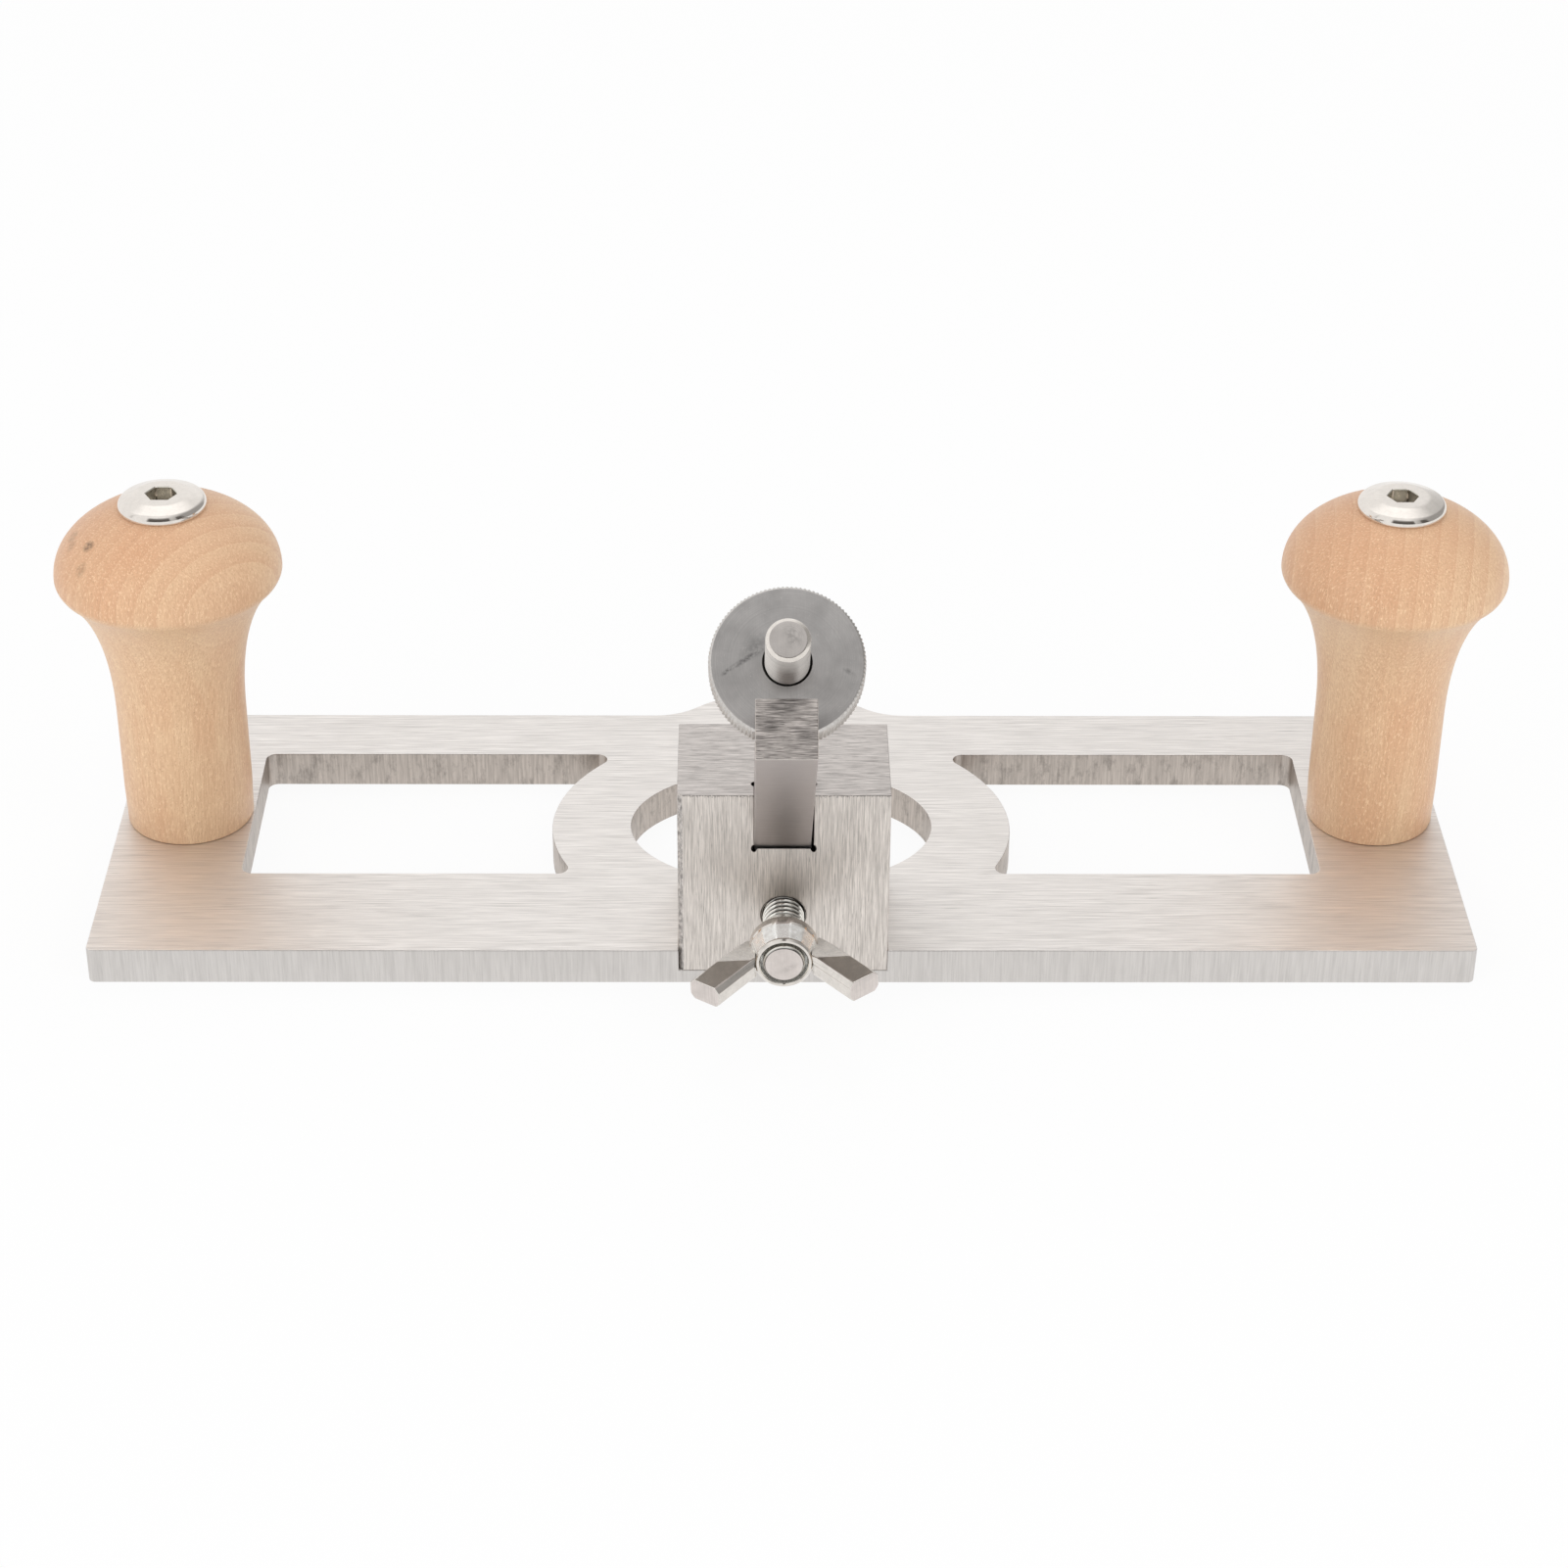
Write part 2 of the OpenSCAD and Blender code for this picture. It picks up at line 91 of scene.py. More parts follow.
# Screws, in millimetres
BOLT_HEX = 4.0
BOLT_HEAD_H, BOLT_LIP, BOLT_FLAT_R = 2.1, 0.75, 3.9
BOLT_SHOULDER_IN, BOLT_SHOULDER_UP = 0.36, 0.62
BOLT_SHANK_R, BOLT_SOCKET, BOLT_SOCKET_TIP = 2.95, 2.3, 2.9
SCREW_HEX, SCREW_SHANK_R, SCREW_SOCKET, SCREW_SOCKET_TIP = 2.5, 1.95, 1.3, 1.5
SCREW_PITCH, SCREW_GROOVE = 0.7, 0.38
PITCH, GROOVE = 1.0, 0.55
SPINDLE_THREAD_TOP, CLAMP_THREAD_TOP = 10.9, 8.3
KNURL_TEETH, KNURL_DEPTH = 110, 0.17
WHEEL_CHAMFER, WHEEL_SINK = 0.35, 0.3

# Points round each turned piece
HANDLE_POINTS, BOLT_POINTS, SCREW_POINTS, BAR_POINTS, HUB_POINTS = 128, 96, 72, 64, 112

# Wing head, in millimetres
HUB_LENGTH, HUB_R, HUB_BORE_R, HUB_FACETS = 7.5, 4.95, 3.0, 14
HUB_RING_R, HUB_SINK_R, HUB_SINK = 4.05, 3.4, 2.2
WING_LENGTH, WING_HALF, WING_THICK_HALF, WING_CORNER = 13.0, 2.58, 1.58, 0.7
WING_LEAN, WING_TURN = math.radians(38), math.radians(3)
WING_FACET_Z, WING_FACET_TILT = 13.1, math.radians(9)
WING_END_X = 8.2
HUB_CONE_BACK, HUB_CONE_FRONT = 4.4, 0.5

# Colours, linear
STAINLESS = (0.85, 0.815, 0.785)
BLOCK_TOP_STEEL = (0.585, 0.545, 0.52)
BLOCK_STEEL = (0.71, 0.66, 0.615)
MILLED = (0.53, 0.475, 0.43)
BLADE_GREY = (0.51, 0.462, 0.447)
BLADE_END = (0.47, 0.43, 0.405)
WHEEL_GREY = (0.49, 0.472, 0.46)
RIM_STEEL = (0.62, 0.595, 0.57)
POLISHED = (0.82, 0.785, 0.75)
SPINDLE_END = (0.54, 0.505, 0.48)
SCREW_END = (0.74, 0.68, 0.645)
NICKEL = (0.74, 0.70, 0.655)
CHROME = (0.80, 0.752, 0.70)
CAST = (0.88, 0.84, 0.79)
HUB_NICKEL = (0.93, 0.905, 0.87)
DULL_STEEL = (0.42, 0.40, 0.385)
# Painted shade for the wheel's sunk ring round the spindle
SINK_SHADE = (0.045, 0.042, 0.04)
# Painted shade for the walls of the blade's slot
SLOT_SHADE = (0.10, 0.093, 0.088)
SOCKET_GREY = (0.66, 0.63, 0.56)
MAPLE = (0.79, 0.515, 0.30)
MAPLE_ORANGE = (0.72, 0.39, 0.225)
MAPLE_PALE = (0.84, 0.62, 0.40)
MAPLE_SPOT = (0.23, 0.135, 0.075)
ROOM_DIM = (0.12, 0.112, 0.105)

# Studio: lamps by name, place, aim, size in metres and power in watts
LAMPS = (
    ("front_softbox", (-0.1, -0.85, 0.56), (0, 0.02, 0.03), 0.9, 0.9),
    ("left_softbox", (-0.75, -0.55, 0.5), (0, 0.02, 0.03), 0.6, 2.5),
    ("right_softbox", (0.75, -0.55, 0.5), (0, 0.02, 0.03), 0.6, 2.3),
    ("top_softbox", (0.03, 0.55, 0.95), (0, 0.02, 0.02), 0.5, 1.2),
)
SKY_FILL = 0.66
SKY_OVERHEAD = 1.3
FLOOR_HALF_M, FLOOR_DROP_MM, FLOOR_WHITE = 3.0, 0.1, 0.92
SEEN = ("Is Camera Ray", "Is Glossy Ray", "Is Transmission Ray")
HERE = Matrix.Identity(4)


def joint(name):
    return next(j for j in frame["joints"] if j["name"] == name)


# Frames of the slanted and level screws: +Z runs out of the tool along each axis
SPINDLE_PLACE = joint("adjuster_turn")["pos_m"]
SPINDLE_FRAME = Matrix.Translation(SPINDLE_PLACE) @ Matrix.Rotation(math.radians(45), 4, "X")
BLOCK_LOW, BLOCK_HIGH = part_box("blade_block")
CLAMP_Z = joint("clamp_turn")["pos_m"][Z]
CLAMP_FRAME = Matrix.Translation((0, BLOCK_LOW.y, CLAMP_Z)) @ Matrix.Rotation(math.radians(90), 4, "X")


def local_box(node, place):
    """Lowest and highest corners of a CAD node in a frame of its own, in millimetres."""
    back = place.inverted()
    points = [back @ v.co / MM for v in frame["nodes"][node].data.vertices]
    return [Vector([pick(p[i] for p in points) for i in range(3)]) for pick in (min, max)]


# Shader building

def add(tree, kind, settings=None, **inputs):
    """Adds a node. Inputs go by label, or by place as i0, i1; a socket is linked and a value is set."""
    made = tree.nodes.new(kind)
    for key, value in (settings or {}).items():
        setattr(made, key, value)
    for key, value in inputs.items():
        numbered = key[0] == "i" and key[1:].isdigit()
        socket = made.inputs[int(key[1:])] if numbered else made.inputs[key.replace("_", " ")]
        if isinstance(value, bpy.types.NodeSocket):
            tree.links.new(value, socket)
        else:
            socket.default_value = value
    return made


def new_material(name, metallic, roughness, colour):
    made = bpy.data.materials.new(name)
    made.use_nodes = True
    shader = made.node_tree.nodes["Principled BSDF"]
    shader.inputs["Metallic"].default_value = metallic
    shader.inputs["Roughness"].default_value = roughness
    shader.inputs["Base Color"].default_value = (*colour, 1)
    made.diffuse_color = (*colour, 1)
    return made, made.node_tree, shader


def object_coords(tree):
    return add(tree, "ShaderNodeTexCoord").outputs["Object"]


def along(tree, coords, axis):
    return add(tree, "ShaderNodeSeparateXYZ", Vector=coords).outputs[axis]


def grain(tree, sizes_mm, detail=3.0, roughness=0.6, coords=None, turn=(0, 0, 0)):
    """Noise whose marks measure sizes_mm along X, Y and Z."""
    mapped = add(tree, "ShaderNodeMapping", Vector=coords or object_coords(tree), Rotation=turn,
                 Scale=[1 / (size * MM) for size in sizes_mm])
    return add(tree, "ShaderNodeTexNoise", Vector=mapped.outputs[0], Scale=1.0, Detail=detail,
               Roughness=roughness).outputs["Fac"]


def drawn_out(across, length, axis):
    sizes = [across] * 3
    sizes[axis] = length
    return sizes


def remap(tree, value, low, high, to_low=0.0, to_high=1.0):
    return add(tree, "ShaderNodeMapRange", i0=value, i1=low, i2=high, i3=to_low, i4=to_high).outputs[0]


def math_node(tree, operation, first, second=0.0):
    return add(tree, "ShaderNodeMath", {"operation": operation}, i0=first, i1=second).outputs[0]


def mix_colour(tree, factor, first, second):
    sides = [side if isinstance(side, bpy.types.NodeSocket) else (*side, 1) for side in (first, second)]
    return add(tree, "ShaderNodeMix", {"data_type": "RGBA"}, i0=factor, i6=sides[0], i7=sides[1]).outputs[2]


def set_colour(tree, shader, tone):
    tree.links.new(tone, shader.inputs["Base Color"])


def set_roughness(tree, shader, value):
    tree.links.new(value, shader.inputs["Roughness"])


def scaled(colour, share):
    return tuple(min(1.0, c * share) for c in colour)


def bump(tree, shader, height, distance_mm, strength=1.0):
    made = add(tree, "ShaderNodeBump", Height=height, Distance=distance_mm * MM, Strength=strength)
    tree.links.new(made.outputs[0], shader.inputs["Normal"])


def blot(tree, centre_mm, size_mm, turn=0.0, inner=0.2):
    """Soft-edged oval mark: 1 in its middle and 0 outside."""
    mapped = add(tree, "ShaderNodeMapping", {"vector_type": "TEXTURE"}, Vector=object_coords(tree),
                 Location=[c * MM for c in centre_mm], Rotation=(0, 0, turn), Scale=[s * MM for s in size_mm])
    ball = add(tree, "ShaderNodeTexGradient", {"gradient_type": "SPHERICAL"}, Vector=mapped.outputs[0])
    return remap(tree, ball.outputs["Fac"], 0.0, 1.0 - inner)


def weighed(tree, *parts):
    """Sum of noises, each times its share."""
    total = None
    for value, share in parts:
        part = math_node(tree, "MULTIPLY", value, share)
        total = math_node(tree, "ADD", total, part) if total else part
    return total


def brushing(tree, shader, colour, axis, roughness, contrast, across, length, depth_mm, cloud):
    """Fine lines along one axis, some of them deeper, and a slight cloudiness. Gives back the colour."""
    fine = grain(tree, drawn_out(across, length, axis), 3.0)
    deep = grain(tree, drawn_out(across * 2.6, length * 2.2, axis), 2.0)
    lines = weighed(tree, (fine, 0.72), (deep, 0.28))
    patch = grain(tree, (14, 14, 14), 2.0)
    scratch = remap(tree, grain(tree, drawn_out(across * 1.3, length * 0.8, axis), 1.0), 0.66, 0.76)
    dark, light = scaled(colour, 1 - contrast), scaled(colour, 1 + contrast)
    tone = mix_colour(tree, remap(tree, lines, 0.36, 0.64), dark, light)
    tone = mix_colour(tree, remap(tree, scratch, 0.0, 1.0, 0.0, 2.4 * contrast), tone, scaled(colour, 0.35))
    set_roughness(tree, shader, remap(tree, lines, 0.3, 0.7, roughness + 0.08, roughness - 0.08))
    bump(tree, shader, lines, depth_mm)
    return mix_colour(tree, remap(tree, patch, 0.35, 0.7, 0.0, cloud), tone, scaled(colour, 0.55))


def brushed(name, colour, axis, roughness, contrast, across, length=7.0, depth_mm=0.012, cloud=0.05):
    made, tree, shader = new_material(name, 1.0, roughness, colour)
    tone = brushing(tree, shader, colour, axis, roughness, contrast, across, length, depth_mm, cloud)
    set_colour(tree, shader, tone)
    return made


def ragged_edge(tree, axis, edge_mm, inward, reach_mm, mark_mm):
    """Mask of torn metal beside an edge: 1 at the edge, and broken up by noise further in."""
    from_edge = math_node(tree, "SUBTRACT", along(tree, object_coords(tree), axis), edge_mm * MM)
    away = math_node(tree, "MULTIPLY", from_edge, inward / (reach_mm * MM))
    torn = remap(tree, grain(tree, (mark_mm, mark_mm, mark_mm), 3.0, 0.7), 0.36, 0.66)
    return remap(tree, math_node(tree, "SUBTRACT", torn, away), 0.0, 0.3)


def sawn_block(name, top_mm):
    """Upright faces of the block: coarse brushing and a torn burr along the top edge."""
    made, tree, shader = new_material(name, 1.0, 0.42, BLOCK_STEEL)
    tone = brushing(tree, shader, BLOCK_STEEL, Z, roughness=0.42, contrast=0.32, across=0.065, length=3.4,
                    depth_mm=0.015, cloud=0.08)
    burr = ragged_edge(tree, Z, top_mm, inward=-1, reach_mm=0.55, mark_mm=0.26)
    tone = mix_colour(tree, remap(tree, burr, 0.0, 1.0, 0.0, 0.7), tone, scaled(BLOCK_STEEL, 0.3))
    set_colour(tree, shader, tone)
    return made


def torn_steel(name):
    """Saw-torn chamfer: dark, coarse and pitted."""
    made, tree, shader = new_material(name, 1.0, 0.5, DULL_STEEL)
    coarse = grain(tree, (0.34, 0.34, 0.8), 4.0, 0.75)
    tone = mix_colour(tree, remap(tree, coarse, 0.38, 0.62), scaled(DULL_STEEL, 0.7), scaled(DULL_STEEL, 1.9))
    set_colour(tree, shader, tone)
    bump(tree, shader, coarse, 0.1)
    return made


def milled(name, colour):
    """Cutter marks on the walls of the windows and the mouth: upright lines and dark smears."""
    made, tree, shader = new_material(name, 1.0, 0.42, colour)
    lines = grain(tree, (0.30, 0.30, 5.0), 3.0)
    smear = grain(tree, (1.5, 1.5, 3.2), 4.0, 0.75)
    tone = mix_colour(tree, remap(tree, lines, 0.35, 0.65), scaled(colour, 0.84), scaled(colour, 1.14))
    dark = mix_colour(tree, remap(tree, smear, 0.5, 0.7, 0.0, 0.6), tone, scaled(colour, 0.4))
    set_colour(tree, shader, dark)
    bump(tree, shader, lines, 0.03)
    return made


def polished(name, colour, roughness, waviness_mm=0.0, wave_size=1.5, contrast=0.05, metallic=1.0):
    """Bright metal with faint tarnish and, if asked for, the slight ripple of a plated casting."""
    made, tree, shader = new_material(name, metallic, roughness, colour)
    haze = grain(tree, (1.1, 1.1, 1.1), 4.0, 0.65)
    light, dark = scaled(colour, 1 + contrast), scaled(colour, 1 - 2 * contrast)
    set_colour(tree, shader, mix_colour(tree, remap(tree, haze, 0.35, 0.7), light, dark))
    set_roughness(tree, shader, remap(tree, haze, 0.35, 0.75, roughness * 0.75, roughness * 1.7))
    if waviness_mm:
        bump(tree, shader, grain(tree, (wave_size,) * 3, 1.0), waviness_mm)
    return made


def radius_from_axis(tree):
    flat = add(tree, "ShaderNodeVectorMath", {"operation": "MULTIPLY"}, i0=object_coords(tree), i1=(1, 1, 0))
    return add(tree, "ShaderNodeVectorMath", {"operation": "LENGTH"}, i0=flat.outputs[0]).outputs["Value"]


def along_rings(tree, shader, amount, turn=0.0):
    """Draws highlights out along the lathe's rings, or across them with a quarter turn."""
    shader.inputs["Anisotropic"].default_value = amount
    shader.inputs["Anisotropic Rotation"].default_value = turn
    around = add(tree, "ShaderNodeTangent", {"direction_type": "RADIAL", "axis": "Z"})
    tree.links.new(around.outputs[0], shader.inputs["Tangent"])


def turned(name, colour, roughness, mark_mm, marks=(), ringed=0.0):
    """Face turned on a lathe: fine rings round the piece's own Z axis, scratches and dark smears."""
    made, tree, shader = new_material(name, 1.0, roughness, colour)
    if ringed:
        along_rings(tree, shader, ringed)
    rings = add(tree, "ShaderNodeTexNoise", {"noise_dimensions": "1D"}, Scale=1.0, Detail=3.0,
                W=math_node(tree, "MULTIPLY", radius_from_axis(tree), 1 / (mark_mm * MM))).outputs["Fac"]
    scratch = grain(tree, (0.2, 4.0, 4.0), 3.0, turn=(0, 0, math.radians(35)))
    haze = grain(tree, (3.5, 3.5, 3.5), 3.0)
    pit = grain(tree, (0.14, 0.14, 0.14), 1.0)
    lines = weighed(tree, (rings, 0.55), (scratch, 0.45))
    tone = mix_colour(tree, remap(tree, lines, 0.35, 0.65), scaled(colour, 0.90), scaled(colour, 1.10))
    tone = mix_colour(tree, remap(tree, haze, 0.4, 0.7, 0.0, 0.5), tone, scaled(colour, 0.66))
    tone = mix_colour(tree, remap(tree, pit, 0.74, 0.80, 0.0, 0.7), tone, scaled(colour, 1.9))
    for centre, size, turn, share in marks:
        worn = math_node(tree, "MULTIPLY", blot(tree, centre, size, turn),
                         remap(tree, grain(tree, (0.5, 0.5, 0.5), 3.0), 0.35, 0.6, 0.0, share))
        tone = mix_colour(tree, worn, tone, scaled(colour, 0.25))
    set_colour(tree, shader, tone)
    set_roughness(tree, shader, remap(tree, lines, 0.3, 0.7, roughness - 0.05, roughness + 0.08))
    bump(tree, shader, lines, 0.006)
    return made


def turned_bar(name, colour, roughness, step_mm):
    """Side of a turned bar: fine rings along its own Z axis, with highlights drawn out along the bar."""
    made, tree, shader = new_material(name, 1.0, roughness, colour)
    along_rings(tree, shader, 0.9, 0.25)
    rings = grain(tree, (40, 40, step_mm), 3.0)
    tone = mix_colour(tree, remap(tree, rings, 0.35, 0.65), scaled(colour, 0.80), scaled(colour, 1.15))
    set_colour(tree, shader, tone)
    set_roughness(tree, shader, remap(tree, rings, 0.3, 0.7, roughness - 0.06, roughness + 0.08))
    bump(tree, shader, rings, 0.02)
    return made


def plated_thread(name, colour, roughness, root_mm, crest_mm):
    """Bright thread with painted shade in its grooves, from the root's radius to the crest's."""
    made, tree, shader = new_material(name, 1.0, roughness, colour)
    haze = grain(tree, (1.1, 1.1, 1.1), 4.0, 0.65)
    tone = mix_colour(tree, remap(tree, haze, 0.35, 0.7), scaled(colour, 1.05), scaled(colour, 0.88))
    # Painted shade: near black at the root's radius, fading out toward the crest's
    depth = remap(tree, radius_from_axis(tree), root_mm * MM, crest_mm * MM, 1.0, 0.0)
    set_colour(tree, shader, mix_colour(tree, depth, tone, scaled(colour, 0.05)))
    set_roughness(tree, shader, remap(tree, haze, 0.35, 0.75, roughness * 0.75, roughness * 1.7))
    return made


def maple_regions(tree, coords, tone):
    """Orange end grain and heartwood, pale sapwood and flare, each by its place on the handle."""
    aside, height = along(tree, coords, X), along(tree, coords, Z)
    on_cap = remap(tree, height, CREASE_Z * MM, CAP_Z * MM)
    below_cap = remap(tree, height, CREASE_Z * MM, CAP_Z * MM, 1.0, 0.0)

    def share(place, limits, most):
        return remap(tree, place, limits[0] * MM, limits[1] * MM, 0.0, most)

    regions = [
        (share(height, END_GRAIN_Z, 0.55), MAPLE_ORANGE),
        (math_node(tree, "MULTIPLY", on_cap, share(aside, HEARTWOOD_X, 0.45)), MAPLE_ORANGE),
        (math_node(tree, "MULTIPLY", on_cap, share(aside, SAPWOOD_X, 0.55)), MAPLE_PALE),
        (math_node(tree, "MULTIPLY", below_cap, share(height, FLARE_Z, 0.45)), MAPLE_PALE),
    ]
    for factor, colour in regions:
        tone = mix_colour(tree, factor, tone, colour)
    return tone


def maple(name, ring_turn, offset_mm, spots=()):
    """Pale sanded maple: growth rings, fine fibres, light and dark flecks, and a thin satin lacquer."""
    made, tree, shader = new_material(name, 0.0, 0.5, MAPLE)
    shader.inputs["Specular IOR Level"].default_value = 0.3
    shader.inputs["Coat Weight"].default_value = 0.35
    shader.inputs["Coat Roughness"].default_value = 0.35
    coords = object_coords(tree)
    moved = add(tree, "ShaderNodeMapping", Vector=coords, Location=[o * MM for o in offset_mm],
                Rotation=(math.radians(4), math.radians(-3), ring_turn)).outputs[0]
    in_mm = add(tree, "ShaderNodeMapping", Vector=moved, Scale=(1 / MM, 1 / MM, 0.16 / MM)).outputs[0]
    rings = add(tree, "ShaderNodeTexWave", {"bands_direction": "X", "wave_profile": "SAW"}, Vector=in_mm,
                Scale=RINGS_PER_MM, Distortion=2.2, Detail=2.0, Detail_Scale=0.35).outputs["Fac"]
    fibre = grain(tree, (0.24, 0.24, 4.0), 3.0, coords=moved)
    fleck = grain(tree, (0.30, 0.20, 0.8), 2.0, 0.7, coords=moved)
    speck = grain(tree, (0.16, 0.16, 0.30), 1.0, 0.5, coords=moved)
    broad = grain(tree, (8, 8, 30), 2.0, coords=moved)
    tone = mix_colour(tree, remap(tree, broad, 0.35, 0.65, 0.1, 0.9), MAPLE_ORANGE, MAPLE_PALE)
    tone = maple_regions(tree, coords, mix_colour(tree, 0.45, tone, MAPLE))
    shown = remap(tree, along(tree, coords, Z), CREASE_Z * MM, CAP_Z * MM, 0.14, 0.40)
    ringed = math_node(tree, "MULTIPLY", remap(tree, rings, 0.35, 0.96), shown)
    tone = mix_colour(tree, ringed, tone, scaled(MAPLE_ORANGE, 0.92))
    tone = mix_colour(tree, remap(tree, rings, 0.0, 0.16, 0.18, 0.0), tone, scaled(MAPLE_PALE, 1.1))
    tone = mix_colour(tree, remap(tree, fibre, 0.35, 0.62, 0.44, 0.0), tone, scaled(MAPLE_ORANGE, 0.80))
    tone = mix_colour(tree, remap(tree, fleck, 0.54, 0.68, 0.0, 0.6), tone, scaled(MAPLE_PALE, 1.15))
    tone = mix_colour(tree, remap(tree, speck, 0.36, 0.24, 0.0, 0.7), tone, scaled(MAPLE_ORANGE, 0.66))
    for centre, size, share in spots:
        stain = math_node(tree, "MULTIPLY", blot(tree, centre, size, inner=0.45),
                          remap(tree, grain(tree, (0.5, 0.5, 0.9), 2.0), 0.3, 0.6, 0.3 * share, share))
        tone = mix_colour(tree, stain, tone, MAPLE_SPOT)
    set_colour(tree, shader, tone)
    set_roughness(tree, shader, remap(tree, fleck, 0.3, 0.7, 0.56, 0.42))
    bump(tree, shader, weighed(tree, (fibre, 1.0), (fleck, 0.6), (speck, 0.5)), 0.035)
    return made


# Mesh building

def rings_to_mesh(rings, closed=False):
    """Skin over rings of equally many points. The ends are capped unless the rings close on themselves."""
    bm = bmesh.new()
    loops = [[bm.verts.new(p) for p in ring] for ring in rings]
    count = len(loops[0])
    pairs = list(zip(loops, loops[1:])) + ([(loops[-1], loops[0])] if closed else [])
    for low, high in pairs:
        for i in range(count):
            j = (i + 1) % count
            bm.faces.new((low[i], low[j], high[j], high[i]))
    if not closed:
        bm.faces.new(loops[0][::-1])
        bm.faces.new(loops[-1])
    bmesh.ops.recalc_face_normals(bm, faces=bm.faces)
    return bm


def circle(radius, height, count, shape=None):
    """Ring of points in metres; shape gives a factor for the radius at each angle."""
    angles = [TURN * i / count for i in range(count)]
    radii = [radius * (shape(t) if shape else 1.0) * MM for t in angles]
    return [(r * math.cos(t), r * math.sin(t), height * MM) for r, t in zip(radii, angles)]


def polygon_shape(sides, turn=0.0):
    """Factor that draws a circle in to a regular polygon which it touches at the flats."""
    step = TURN / sides
    return lambda t: 1 / math.cos((t - turn) % step - step / 2)


def rounded(profile, radius, steps=4):
    """Profile with its corners turned into arcs no larger than radius."""
    points = [Vector(p) for p in profile]
    out = [points[0]]
    for before, here, after in zip(points, points[1:], points[2:]):
        reach = min(radius, (before - here).length * 0.45, (after - here).length * 0.45)
        start = here + (before - here).normalized() * reach
        end = here + (after - here).normalized() * reach
        for i in range(steps + 1):
            t = i / steps
            out.append(start * (1 - t) ** 2 + here * 2 * t * (1 - t) + end * t ** 2)
    return out + [points[-1]]


def in_scene(name, data):
    made = bpy.data.objects.new(name, data)
    bpy.context.scene.collection.objects.link(made)
    return made


def as_object(name, bm):
    mesh = bpy.data.meshes.new(name)
    bm.to_mesh(mesh)
    bm.free()
    return in_scene(name, mesh)


def piece(name, bm, place, body, nodes, materials, smooth_deg=32.0):
    """Turns a mesh into an object that rides on a body in place of CAD nodes."""
    made = as_object(name, bm)
    made.matrix_world = place
    for material in materials:
        made.data.materials.append(material)
    made.data.shade_smooth()
    made.data.set_sharp_from_angle(angle=math.radians(smooth_deg))
    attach(made, body)
    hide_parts(*nodes)
    return made


def paint(bm, choose):
    for face in bm.faces:
        face.material_index = choose(face.calc_center_median() / MM, face.normal)


def softened_solid(node, place, edge_mm, sharp_deg=35.0, segments=2, chamfer=None):
    """Copy of a CAD node's mesh with its flat faces joined up and its sharp edges rounded.

    A chamfer is a test that picks edges, and a breadth.
    """
    bm = bmesh.new()
    bm.from_mesh(frame["nodes"][node].data)
    bmesh.ops.remove_doubles(bm, verts=bm.verts, dist=0.002 * MM)
    bmesh.ops.dissolve_limit(bm, angle_limit=math.radians(0.6), verts=bm.verts, edges=bm.edges)
    bm.transform(place.inverted())
    if chamfer:
        picks, breadth = chamfer
        bmesh.ops.bevel(bm, geom=[e for e in bm.edges if picks(e)], offset=breadth * MM, offset_type="OFFSET",
                        segments=1, profile=0.5, affect="EDGES")
    sharp = [e for e in bm.edges if len(e.link_faces) == 2 and e.calc_face_angle() > math.radians(sharp_deg)]
    bmesh.ops.bevel(bm, geom=sharp, offset=edge_mm * MM, offset_type="OFFSET", segments=segments, profile=0.5,
                    affect="EDGES")
    bmesh.ops.recalc_face_normals(bm, faces=bm.faces)
    return bm


def keep_flats_flat(made):
    """Weighs normals by face area, so that rounded edges don't shade the flats beside them."""
    modifier = made.modifiers.new("flat", "WEIGHTED_NORMAL")
    modifier.keep_sharp = True


def make_plate():
    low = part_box("base_plate")[0] / MM
    bm = softened_solid("base_plate", HERE, PLATE_ROUNDING)

    def choose(centre, normal):
        if abs(normal.z) > 0.6:
            return 0
        inside = abs(centre.x) < WALLS_ASIDE and low.y + WALLS_FRONT < centre.y < low.y + WALLS_BACK
        return 2 if inside else 1

    paint(bm, choose)
    made = piece("sole_plate", bm, HERE, "frame", ["base_plate"], [
        brushed("plate_brushed", scaled(STAINLESS, 0.985), X, roughness=0.54, contrast=0.18, across=0.09),
        brushed("plate_edge", scaled(STAINLESS, 0.79), Z, roughness=0.38, contrast=0.07, across=0.2,
                length=6.0, depth_mm=0.01),
        milled("plate_milled", MILLED),
    ])
    keep_flats_flat(made)


def make_block():
    bm = softened_solid("blade_block", HERE, BLOCK_ROUNDING, chamfer=(is_front_left, BLOCK_TORN))
    blade_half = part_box("router_blade")[1].x / MM

    def choose(centre, normal):
        # Walls of the blade's slot get a near-black colour: painted shade in the narrow gap
        slanted = abs(normal.y) > 0.6 and abs(normal.z) > 0.6
        if abs(centre.x) < blade_half + 1 and (abs(normal.x) > 0.9 or slanted):
            return 3
        if abs(normal.z) > 0.6:
            return 0
        return 2 if normal.x < -0.5 and normal.y < -0.5 else 1

    paint(bm, choose)
    made = piece("block_body", bm, HERE, "frame", ["blade_block"], [
        brushed("block_top", BLOCK_TOP_STEEL, X, roughness=0.42, contrast=0.42, across=0.08, length=2.8,
                depth_mm=0.02, cloud=0.12),
        sawn_block("block_upright", BLOCK_HIGH.z / MM),
        torn_steel("block_torn_edge"),
        # Painted shade on the walls of the blade's slot
        polished("block_slot_shade", SLOT_SHADE, roughness=0.5),
    ])
    keep_flats_flat(made)


def is_front_left(edge):
    """Whether an edge is the upright one at the block's front left corner."""
    return all((v.co - BLOCK_LOW).xy.length < 0.01 * MM for v in edge.verts)


